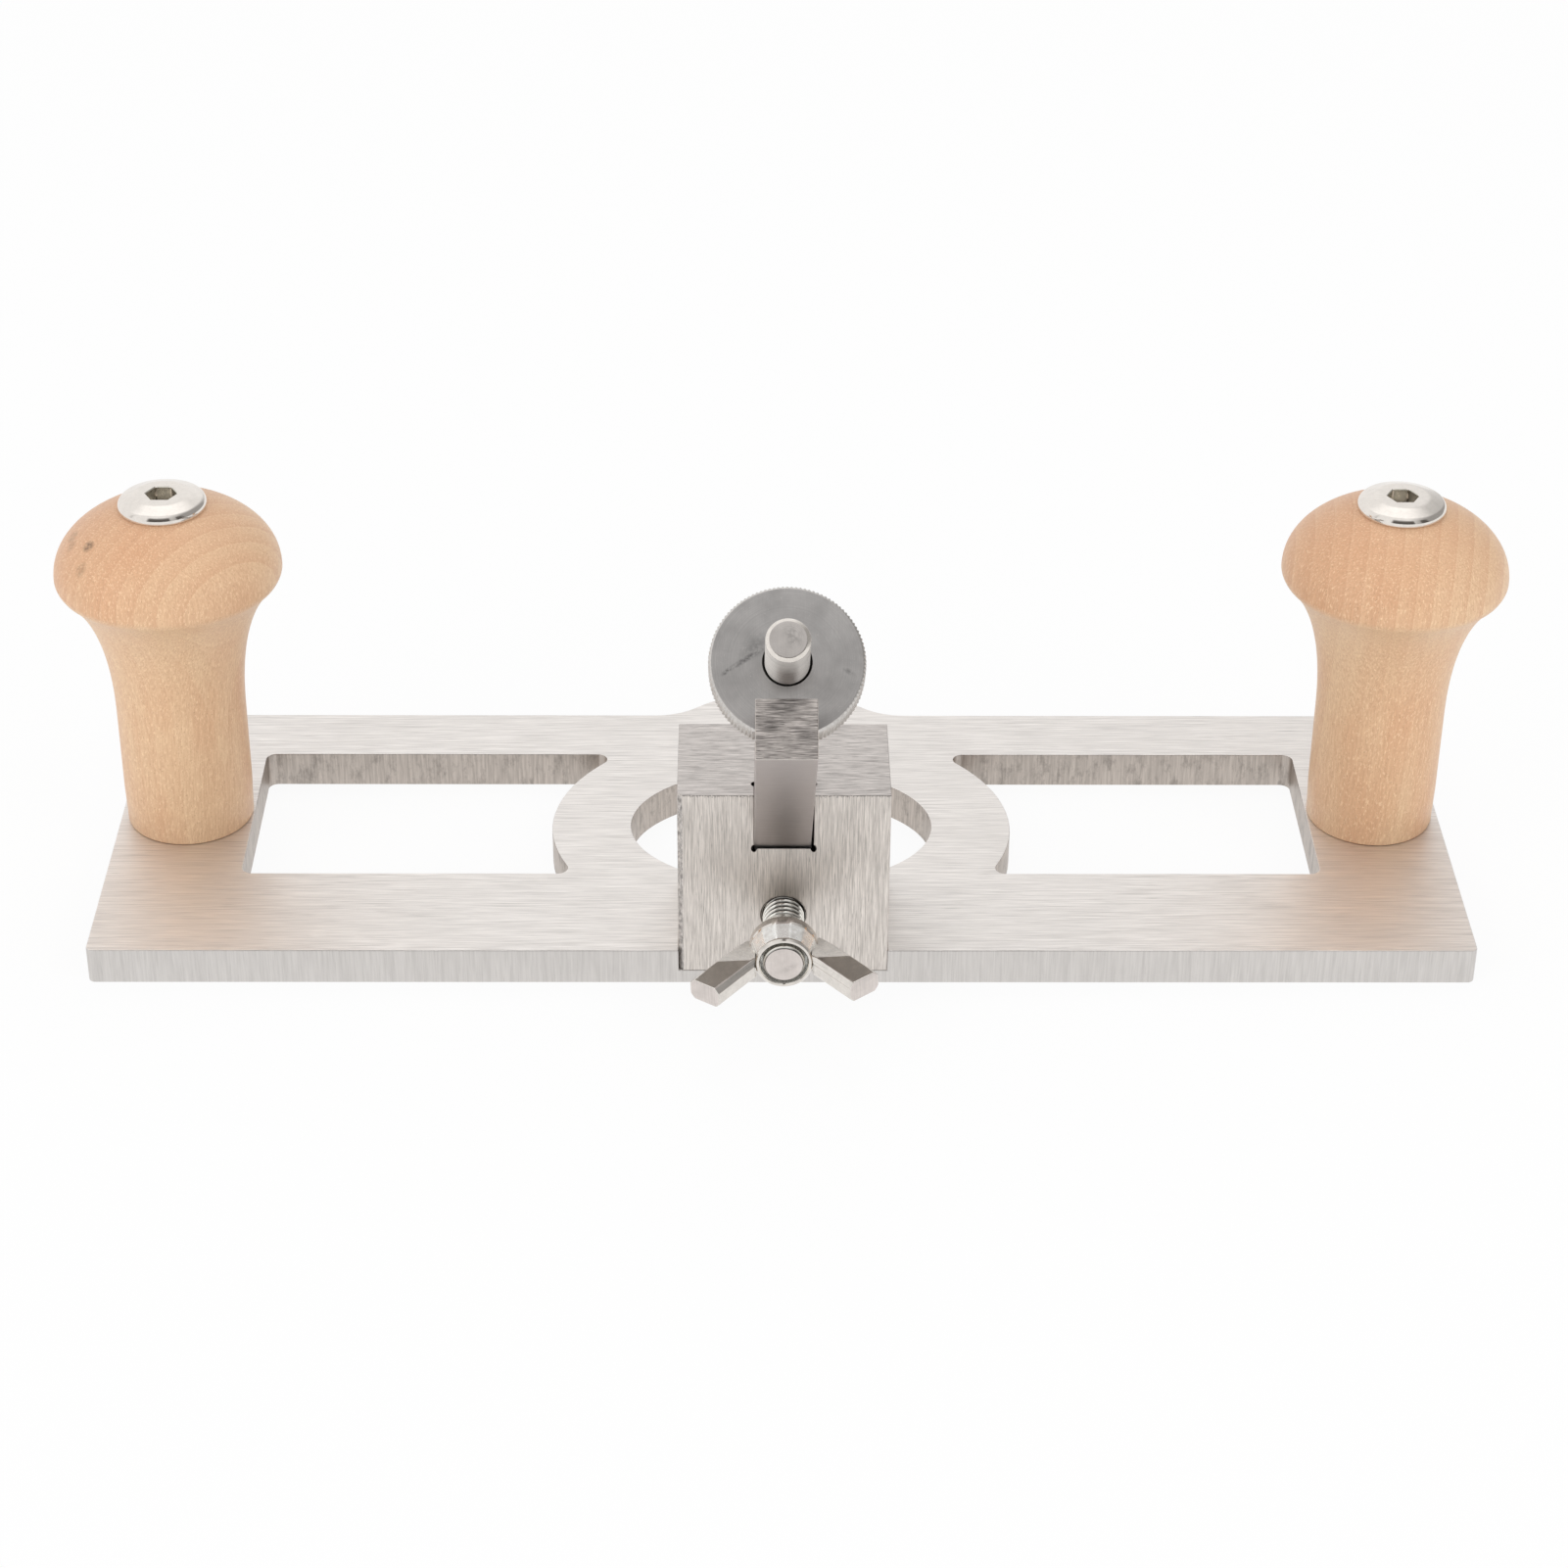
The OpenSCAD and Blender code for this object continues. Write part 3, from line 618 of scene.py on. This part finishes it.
def make_blade():
    """The blade lies toward the left wall of its slot."""
    place = Matrix.Translation((-BLADE_ASIDE * MM, 0, 0)) @ SPINDLE_FRAME
    bm = softened_solid("router_blade", SPINDLE_FRAME, BLADE_ROUNDING)
    low, high = local_box("router_blade", SPINDLE_FRAME)
    axis_y = (low.y + high.y) / 2

    def choose(centre, normal):
        if centre.z < high.z - 1 or normal.z < 0.2:
            return 0
        # Index 2 is the chamfer at the end's lower edge, whose bright colour is a painted highlight.
        return 1 if normal.z > 0.9 else 2

    paint(bm, choose)
    # Dark patches on the blade's end: the first, at the top centre, is a painted reflection of the spindle;
    # the other two are smaller dark patches beside it.
    spindle_reflection_and_patches = [((0.3, axis_y + 3.4, high.z), (3.4, 2.6, 2)), ((-2.2, axis_y + 0.6, high.z), (2.2, 1.2, 2)),
                  ((2.4, axis_y - 0.8, high.z), (1.8, 1.4, 2))]
    made = piece("blade_bar", bm, place, "blade", ["router_blade"], [
        brushed("blade_ground", BLADE_GREY, X, roughness=0.36, contrast=0.04, across=0.1, length=3.0,
                depth_mm=0.004, cloud=0.04),
        ground_end("blade_end", spindle_reflection_and_patches),
        # The chamfer between the blade's end and its underside is real; its chrome-bright colour is a painted
        # highlight.
        polished("blade_edge_highlight", CHROME, roughness=0.3),
    ])
    keep_flats_flat(made)


def ground_end(name, spindle_reflection_and_patches):
    """Coarse grinding lines across the blade's end, with dark patches: the largest, at the top centre, is a
    painted reflection of the spindle; two smaller ones lie beside it.
    """
    made, tree, shader = new_material(name, 1.0, 0.4, BLADE_END)
    tone = brushing(tree, shader, BLADE_END, X, roughness=0.4, contrast=0.74, across=0.1, length=2.6,
                    depth_mm=0.03, cloud=0.12)
    # Each patch darkens the end in streaks; at the top centre this is a painted reflection of the spindle.
    for centre, size in spindle_reflection_and_patches:
        streaked = math_node(tree, "MULTIPLY", blot(tree, centre, size),
                             remap(tree, grain(tree, (2.6, 0.16, 0.16), 3.0), 0.36, 0.6, 0.1, 0.9))
        tone = mix_colour(tree, streaked, tone, scaled(BLADE_END, 0.2))
    set_colour(tree, shader, tone)
    return made


def bend(start, toward, end, steps=20):
    """Curve from start to end that leaves and arrives toward a third point, without its first point."""
    shares = [(i + 1) / steps for i in range(steps)]
    return [tuple((1 - t) ** 2 * p + 2 * t * (1 - t) * q + t ** 2 * r for p, q, r in zip(start, toward, end))
            for t in shares]


def handle_profile(height, cap_r, seat_r):
    """Outer line of a handle from its foot to the bolt's seat."""
    neck, crease, widest = (NECK_R, NECK_Z), (CREASE_R, CREASE_Z), (cap_r, CAP_Z)
    line = [(HANDLE_BORE_R, 0), (FOOT_R - 0.35, 0), (FOOT_R - 0.1, 0.1), (FOOT_R, 0.35)]
    line += [(NECK_R, FOOT_Z), neck]
    line += bend(neck, (NECK_R, FLARE_TURN_Z), crease)
    line += bend(crease, (cap_r, CAP_TURN_Z), widest)
    line += bend(widest, (cap_r, DOME_TURN_Z), (seat_r, height))
    return line + [(HANDLE_BORE_R, height)]


def upright(node):
    """Place of an upright round node's foot, with its height and radius in millimetres."""
    low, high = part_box(node)
    middle = (low + high) / 2
    place = Matrix.Translation((middle.x, middle.y, low.z))
    return place, (high.z - low.z) / MM, (high.x - low.x) / 2 / MM


def make_handle(side, material):
    node = f"{side}_handle"
    place, height, cap_r = upright(node)
    seat_r = upright(f"{side}_handle_bolt")[2]
    profile = handle_profile(height, cap_r, seat_r)
    bm = rings_to_mesh([circle(r, z, HANDLE_POINTS) for r, z in profile], closed=True)
    piece(f"{side}_grip", bm, place, "frame", [node], [material], smooth_deg=40)


def make_bolt(side, materials):
    node = f"{side}_handle_bolt"
    place, length, head_r = upright(node)
    seat = length - BOLT_HEAD_H
    shoulder = seat + BOLT_LIP
    cone_low = (head_r - BOLT_SHOULDER_IN, shoulder + BOLT_SHOULDER_UP)
    cone_high = (BOLT_FLAT_R, length)
    cone_middle = tuple((a + b) / 2 for a, b in zip(cone_low, cone_high))
    socket_r = BOLT_HEX / 2
    rim = [(BOLT_SHANK_R, seat), (head_r - 0.1, seat), (head_r, seat + 0.1), (head_r, shoulder)]
    outline = [(BOLT_SHANK_R - 0.5, 0), (BOLT_SHANK_R, 0.5)]
    outline += rounded(rim + [cone_low, cone_middle], 0.3, 8)
    outline += rounded([cone_middle, cone_high, (socket_r + 0.75, length)], 0.3, 4)[1:]
    socket = [(socket_r + 0.12, 0), (socket_r, 0.12), (socket_r, BOLT_SOCKET)]
    hexagon = polygon_shape(6)
    rings = [circle(r, z, BOLT_POINTS) for r, z in outline]
    rings += [circle(r, length - depth, BOLT_POINTS, hexagon) for r, depth in socket]
    rings += [circle(0.4, length - BOLT_SOCKET_TIP, BOLT_POINTS)]
    bm = rings_to_mesh(rings)
    paint(bm, lambda centre, normal: 1 if centre.z > seat and centre.to_2d().length < BOLT_HEX * 0.56 else 0)
    piece(f"{side}_cap_bolt", bm, place, "frame", [node], materials)


def make_block_screw(side, material):
    node = f"{side}_block_screw"
    place, length, head_r = upright(node)
    socket_r, cone_top = SCREW_HEX / 2, head_r - SCREW_SHANK_R
    hexagon = polygon_shape(6)
    socket = [(socket_r, SCREW_SOCKET), (socket_r, 0.08), (socket_r + 0.08, 0)]
    head = [(head_r - 0.12, 0), (head_r, 0.1), (SCREW_SHANK_R, cone_top)]
    rings = [circle(0.3, SCREW_SOCKET_TIP, SCREW_POINTS)]
    rings += [circle(r, z, SCREW_POINTS, hexagon) for r, z in socket]
    rings += [circle(r, z, SCREW_POINTS) for r, z in head]
    rings += thread_rings(SCREW_SHANK_R, cone_top + 0.4, length - 0.4, SCREW_PITCH, SCREW_POINTS,
                          SCREW_GROOVE)
    rings += [circle(SCREW_SHANK_R - 0.4, length, SCREW_POINTS)]
    piece(f"{side}_sunk_screw", rings_to_mesh(rings), place, "frame", [node], [material])


def thread_rings(radius, start, end, pitch, count, depth, per_turn=10):
    """Rings of a round bar with a V-shaped helical groove, which fades out at both ends."""
    steps = max(2, round((end - start) / pitch * per_turn))
    rings = []
    for i in range(steps + 1):
        height = start + (end - start) * i / steps
        fade = min(1.0, (height - start) / pitch, (end - height) / pitch)
        ring = []
        for k in range(count):
            angle = TURN * k / count
            phase = (height / pitch - angle / TURN) % 1.0
            ridge = min(1.0, 1.25 * abs(2 * phase - 1))
            r = (radius - depth * fade * (1 - ridge)) * MM
            ring.append((r * math.cos(angle), r * math.sin(angle), height * MM))
        rings.append(ring)
    return rings


def make_spindle():
    low, high = local_box("adjuster_spindle", SPINDLE_FRAME)
    radius = (high.x - low.x) / 2
    rings = [circle(radius - 0.6, low.z, BAR_POINTS), circle(radius - 0.2, low.z + 0.3, BAR_POINTS)]
    rings += thread_rings(radius, low.z + 0.4, SPINDLE_THREAD_TOP, PITCH, BAR_POINTS, GROOVE)
    bar = rounded([(radius, SPINDLE_THREAD_TOP + 0.3), (radius, high.z - 0.55), (radius - 0.5, high.z),
                   (0.4, high.z)], 0.12)
    rings += [circle(r, z, BAR_POINTS) for r, z in bar]
    bm = rings_to_mesh(rings)

    def choose(centre, normal):
        if centre.z < high.z - 0.5 or normal.z < 0.2:
            return 0
        return 1 if normal.z > 0.9 else 2

    paint(bm, choose)
    smear = ((0.6, 0.4, high.z), (1.6, 2.0, 2), 0.4, 0.4)
    piece("spindle_bar", bm, SPINDLE_FRAME, "adjuster", ["adjuster_spindle"], [
        turned_bar("spindle_side", POLISHED, roughness=0.74, step_mm=0.3),
        turned("spindle_end", SPINDLE_END, roughness=0.34, mark_mm=0.12, marks=[smear]),
        polished("spindle_rim", CHROME, roughness=0.2),
    ])


def make_wheel():
    low, high = local_box("adjuster_wheel", SPINDLE_FRAME)
    spindle_low, spindle_high = local_box("adjuster_spindle", SPINDLE_FRAME)
    bore = (spindle_high.x - spindle_low.x) / 2
    radius = (high.x - low.x) / 2 - 0.05
    chamfer, sink = WHEEL_CHAMFER, WHEEL_SINK
    count = KNURL_TEETH * 4

    def teeth(share):
        return lambda t: 1 - share * KNURL_DEPTH / radius * abs(2 * (t * KNURL_TEETH / TURN % 1.0) - 1)

    outline = [(bore, low.z, 0), (radius - chamfer - 0.05, low.z, 0), (radius - chamfer, low.z + 0.03, 0),
               (radius - 0.1, low.z + chamfer - 0.1, 0.6), (radius, low.z + chamfer, 1),
               (radius, high.z - chamfer, 1), (radius - 0.1, high.z - chamfer + 0.1, 0.6),
               (radius - chamfer, high.z - 0.03, 0), (radius - chamfer - 0.05, high.z, 0),
               (bore + sink + 0.05, high.z, 0), (bore + sink, high.z - 0.04, 0), (bore, high.z - sink, 0)]
    bm = rings_to_mesh([circle(r, z, count, teeth(share)) for r, z, share in outline], closed=True)

    def choose(centre, normal):
        if abs(normal.z) < 0.9:
            # Upright faces near the middle are the sunk ring round the spindle, which gets painted shade
            return 1 if centre.to_2d().length > radius - 2 else 2
        return 0

    paint(bm, choose)
    smears = [((-5.5, 0.3, high.z), (3.9, 0.45, 3), math.radians(33), 0.8),
              ((-7.9, -1.3, high.z), (1.0, 0.35, 3), math.radians(40), 0.9),
              ((-4.2, 2.0, high.z), (2.9, 1.7, 3), math.radians(33), 0.34),
              ((8.0, -1.3, high.z), (1.1, 0.45, 3), math.radians(-30), 0.5)]
    piece("knurled_wheel", bm, SPINDLE_FRAME, "adjuster", ["adjuster_wheel"], [
        turned("wheel_face", WHEEL_GREY, roughness=0.38, mark_mm=0.22, marks=smears, ringed=0.9),
        brushed("wheel_rim", RIM_STEEL, Z, roughness=0.34, contrast=0.10, across=0.3, length=3.0,
                depth_mm=0.01),
        # Painted shade in the sunk ring round the spindle
        polished("wheel_sink", SINK_SHADE, roughness=0.5),
    ], smooth_deg=25)


def make_clamp_screw():
    low, high = local_box("clamp_screw", CLAMP_FRAME)
    radius = (high.x - low.x) / 2
    rings = [circle(1.0, low.z, BAR_POINTS), circle(radius - 0.5, low.z + 1.6, BAR_POINTS)]
    rings += thread_rings(radius, low.z + 2.0, CLAMP_THREAD_TOP, PITCH, BAR_POINTS, GROOVE)
    bar = rounded([(radius, CLAMP_THREAD_TOP + 0.2), (radius, high.z - 0.3), (radius - 0.3, high.z),
                   (0.4, high.z)], 0.12)
    rings += [circle(r, z, BAR_POINTS) for r, z in bar]
    bm = rings_to_mesh(rings)
    paint(bm, lambda centre, normal: 1 if normal.z > 0.9 and centre.z > high.z - 0.2 else 0)
    smear = ((0.8, -0.6, high.z), (1.8, 0.6, 2), 0.5, 0.25)
    piece("clamp_thread", bm, CLAMP_FRAME, "clamp", ["clamp_screw"], [
        plated_thread("thread_nickel", scaled(NICKEL, 1.35), roughness=0.15, root_mm=radius - 0.30,
                      crest_mm=radius - 0.06),
        turned("thread_end", SCREW_END, roughness=0.32, mark_mm=0.1, marks=[smear]),
    ])


def wing_hub(back, front):
    """Round hub with a faceted cone in front and a sunk ring round the screw's end."""
    cone = polygon_shape(HUB_FACETS)
    draw_in = math.cos(math.pi / HUB_FACETS)
    plain = [(HUB_BORE_R, back), (HUB_BORE_R + 0.4, back), (HUB_R - 0.05, back + 2.9), (HUB_R, back + 3.1),
             (HUB_R, back + 4.2)]
    faceted = [(HUB_R - 0.1, back + 4.5), (HUB_RING_R + 0.05, front - 0.6)]
    lip = [(HUB_RING_R, front - 0.25), (HUB_RING_R - 0.2, front), (HUB_SINK_R + 0.12, front),
           (HUB_SINK_R, front - 0.15), (HUB_SINK_R - 0.05, front - HUB_SINK), (HUB_BORE_R, front - HUB_SINK)]
    rings = [circle(r, z, HUB_POINTS) for r, z in rounded(plain, 0.25)]
    rings += [circle(r * draw_in, z, HUB_POINTS, cone) for r, z in faceted]
    rings += [circle(r, z, HUB_POINTS) for r, z in lip]
    return rings_to_mesh(rings, closed=True)


def make_wing_head():
    """Cast wing head: a hub with a faceted front cone, and two eight-sided bars swept forward."""
    low, high = local_box("wing_head", CLAMP_FRAME)
    back, front = low.z, low.z + HUB_LENGTH
    clear_r = HUB_RING_R + 0.15
    clearance = [(HUB_BORE_R, back - 1), (HUB_BORE_R, front - HUB_SINK), (clear_r, front - HUB_SINK),
                 (clear_r, high.z + 1)]
    hub = wing_hub(back, front)
    wings = []
    for side in (-1, 1):
        core = rings_to_mesh([circle(r, z, HUB_POINTS) for r, z in clearance])
        wings.append(combined("DIFFERENCE", [wing_bar(side, high.x, high.z), core]))
    whole = combined("UNION", [hub] + wings)

    def choose(centre, normal):
        aside = abs(centre.x)
        if aside > WING_END_X and abs(normal.x) > 0.45 and normal.z > 0.55:
            return 1
        if aside > HUB_R - 0.4 and abs(normal.y) > 0.8 and centre.z < WING_FACET_Z:
            return 2
        on_cone = back + HUB_CONE_BACK < centre.z < front - HUB_CONE_FRONT
        return 3 if centre.to_2d().length < HUB_R and on_cone else 0

    paint(whole, choose)
    place = CLAMP_FRAME @ Matrix.Rotation(WING_TURN, 4, "Z")
    made = piece("wing_casting", whole, place, "wings", ["wing_head"], [
        polished("wing_plated", NICKEL, roughness=0.13, waviness_mm=0.02, wave_size=1.3),
        turned("wing_end", SCREW_END, roughness=0.38, mark_mm=0.2),
        polished("wing_cast", CAST, roughness=0.5, waviness_mm=0.06, wave_size=0.35, contrast=0.1,
                 metallic=0.4),
        polished("hub_hammered", HUB_NICKEL, roughness=0.3, waviness_mm=0.03, wave_size=0.6, contrast=0.12,
                 metallic=0.65),
    ], smooth_deg=28)
    keep_flats_flat(made)


def wing_bar(side, reach, forward):
    """One wing in the clamp's frame: an eight-sided bar, cut away above and below near the hub."""
    outward = Vector((math.sin(WING_LEAN), 0, math.cos(WING_LEAN)))
    across = Vector((math.cos(WING_LEAN), 0, -math.sin(WING_LEAN)))
    up = Vector((0, 1, 0))
    inset = 0.02
    tip = Vector((reach - WING_HALF * across.x - inset, 0, forward + WING_HALF * across.z - inset))
    sections = []
    half, thick = WING_HALF, WING_THICK_HALF
    near, top = half - WING_CORNER, thick - WING_CORNER
    outline = [(-half, -top), (-near, -thick), (near, -thick), (half, -top), (half, top), (near, thick),
               (-near, thick), (-half, top)]
    for at in (tip - outward * WING_LENGTH, tip):
        sections.append([(at + across * b + up * h) * MM for b, h in outline])
    bm = rings_to_mesh([[(side * p.x, p.y, p.z) for p in ring] for ring in sections])
    for sign in (-1, 1):
        point = (0, sign * WING_THICK_HALF * MM, WING_FACET_Z * MM)
        normal = (0, sign * math.cos(WING_FACET_TILT), -math.sin(WING_FACET_TILT))
        cut = bmesh.ops.bisect_plane(bm, geom=bm.verts[:] + bm.edges[:] + bm.faces[:], dist=1e-8,
                                     plane_co=point, plane_no=normal, clear_outer=True)
        bmesh.ops.edgeloop_fill(bm, edges=[e for e in cut["geom_cut"] if isinstance(e, bmesh.types.BMEdge)])
    sharp = [e for e in bm.edges if e.calc_face_angle(0) > math.radians(8)]
    bmesh.ops.bevel(bm, geom=sharp, offset=0.16 * MM, offset_type="OFFSET", segments=2, profile=0.5,
                    affect="EDGES")
    bmesh.ops.recalc_face_normals(bm, faces=bm.faces)
    return bm


def combined(operation, solids):
    """Union of closed meshes, or what the later ones leave of the first."""
    base, *others = [as_object("scratch", bm) for bm in solids]
    for other in others:
        modifier = base.modifiers.new("combine", "BOOLEAN")
        modifier.operation = operation
        modifier.solver = "EXACT"
        modifier.object = other
    bpy.context.view_layer.update()
    mesh = base.evaluated_get(bpy.context.evaluated_depsgraph_get()).to_mesh()
    bm = bmesh.new()
    bm.from_mesh(mesh)
    for scratch in [base] + others:
        bpy.data.objects.remove(scratch)
    return bm


# Studio

def any_of(tree, *rays):
    path = add(tree, "ShaderNodeLightPath")
    total = path.outputs[rays[0]]
    for ray in rays[1:]:
        total = math_node(tree, "MAXIMUM", total, path.outputs[ray])
    return total


def make_floor():
    bm = bmesh.new()
    corners = [(-1, -1), (1, -1), (1, 1), (-1, 1)]
    places = [(x * FLOOR_HALF_M, y * FLOOR_HALF_M, -FLOOR_DROP_MM * MM) for x, y in corners]
    bm.faces.new([bm.verts.new(place) for place in places])
    made = as_object("floor", bm)
    material = bpy.data.materials.new("floor_white")
    material.use_nodes = True
    tree = material.node_tree
    tree.nodes.clear()
    plain = add(tree, "ShaderNodeBsdfDiffuse", Color=(0.95, 0.95, 0.95, 1))
    white = add(tree, "ShaderNodeEmission", Color=(1, 1, 1, 1), Strength=1.0)
    share = math_node(tree, "MULTIPLY", any_of(tree, *SEEN), FLOOR_WHITE)
    mixed = add(tree, "ShaderNodeMixShader", i0=share, i1=plain.outputs[0], i2=white.outputs[0])
    add(tree, "ShaderNodeOutputMaterial", Surface=mixed.outputs[0])
    made.data.materials.append(material)


def metal_room(tree, side, depth, height):
    """What metal mirrors: white, a dim room low in front between two softboxes, and shade on the right."""
    front = remap(tree, depth, -0.10, -0.50)
    low = remap(tree, height, 0.78, 0.50)
    forward = math_node(tree, "MAXIMUM", math_node(tree, "MULTIPLY", depth, -1.0), 0.05)
    aside = math_node(tree, "DIVIDE", side, forward)
    left_box = math_node(tree, "MULTIPLY", remap(tree, aside, -3.6, -3.2), remap(tree, aside, -0.55, -0.7))
    right_box = math_node(tree, "MULTIPLY", remap(tree, aside, 0.45, 0.55), remap(tree, aside, 0.95, 0.85))
    gap = math_node(tree, "SUBTRACT", 1.0, math_node(tree, "ADD", left_box, right_box))
    dim = math_node(tree, "MULTIPLY", math_node(tree, "MULTIPLY", front, low), gap)
    shade = remap(tree, side, 0.15, 0.7, 0.0, 0.7)
    return mix_colour(tree, math_node(tree, "MAXIMUM", dim, shade), (1, 1, 1), ROOM_DIM)


def make_world():
    """White for the camera, a room for metal to mirror, and an even fill for everything else."""
    world = bpy.data.worlds.new("studio")
    bpy.context.scene.world = world
    world.use_nodes = True
    tree = world.node_tree
    tree.nodes.clear()
    direction = add(tree, "ShaderNodeTexCoord").outputs["Generated"]
    side, depth, height = (along(tree, direction, axis) for axis in (X, Y, Z))
    overhead = math_node(tree, "MULTIPLY", remap(tree, depth, 0.0, 0.3), remap(tree, height, 0.7, 0.85))
    seen = add(tree, "ShaderNodeBackground", Color=metal_room(tree, side, depth, height),
               Strength=remap(tree, overhead, 0.0, 1.0, 1.0, SKY_OVERHEAD)).outputs[0]
    white = add(tree, "ShaderNodeBackground", Color=(1, 1, 1, 1), Strength=1.0).outputs[0]
    fill = add(tree, "ShaderNodeBackground", Color=(1, 1, 1, 1), Strength=SKY_FILL).outputs[0]
    inner = add(tree, "ShaderNodeMixShader", i0=any_of(tree, *SEEN[1:]), i1=fill, i2=seen).outputs[0]
    outer = add(tree, "ShaderNodeMixShader", i0=any_of(tree, SEEN[0]), i1=inner, i2=white).outputs[0]
    add(tree, "ShaderNodeOutputWorld", Surface=outer)


def make_light(name, place, aim, size, power):
    """Square lamp that metal doesn't mirror: metal sees the world alone."""
    lamp = bpy.data.lights.new(name, "AREA")
    lamp.shape = "SQUARE"
    lamp.size = size
    lamp.energy = power
    made = in_scene(name, lamp)
    made.visible_glossy = False
    made.location = place
    made.rotation_euler = (Vector(aim) - Vector(place)).to_track_quat("-Z", "Y").to_euler()


def make_camera():
    cam = bpy.data.cameras.new("camera")
    cam.sensor_fit = "HORIZONTAL"
    cam.sensor_width = SENSOR_MM
    cam.lens = FOCAL_PIXELS / IMAGE_SIDE * SENSOR_MM
    cam.clip_start = 0.01
    made = in_scene("camera", cam)
    place = Matrix.Translation(Vector(CAMERA_PLACE_MM) * MM)
    heading = Matrix.Rotation(-CAMERA_YAW, 4, "Z")
    tilt = Matrix.Rotation(math.pi / 2 - CAMERA_PITCH, 4, "X")
    made.matrix_world = place @ heading @ tilt @ Matrix.Rotation(CAMERA_ROLL, 4, "Z")
    bpy.context.scene.camera = made


def make_tool():
    make_plate()
    make_block()
    make_blade()
    make_handle("left", maple("maple_left", math.radians(42), (3, 1, 0), LEFT_SPOTS))
    make_handle("right", maple("maple_right", math.radians(9), (-21, 14, 60)))
    chrome = [polished("bolt_chrome_plate", CHROME, roughness=0.09, waviness_mm=0.005, wave_size=2.0,
                       contrast=0.03),
              polished("bolt_socket", SOCKET_GREY, roughness=0.3)]
    dull = polished("screw_dull", DULL_STEEL, roughness=0.38)
    for side in ("left", "right"):
        make_bolt(side, chrome)
        make_block_screw(side, dull)
    make_spindle()
    make_wheel()
    make_clamp_screw()
    make_wing_head()


make_camera()
make_world()
make_floor()
for lamp in LAMPS:
    make_light(*lamp)
make_tool()

bpy.context.scene.view_settings.view_transform = "Standard"
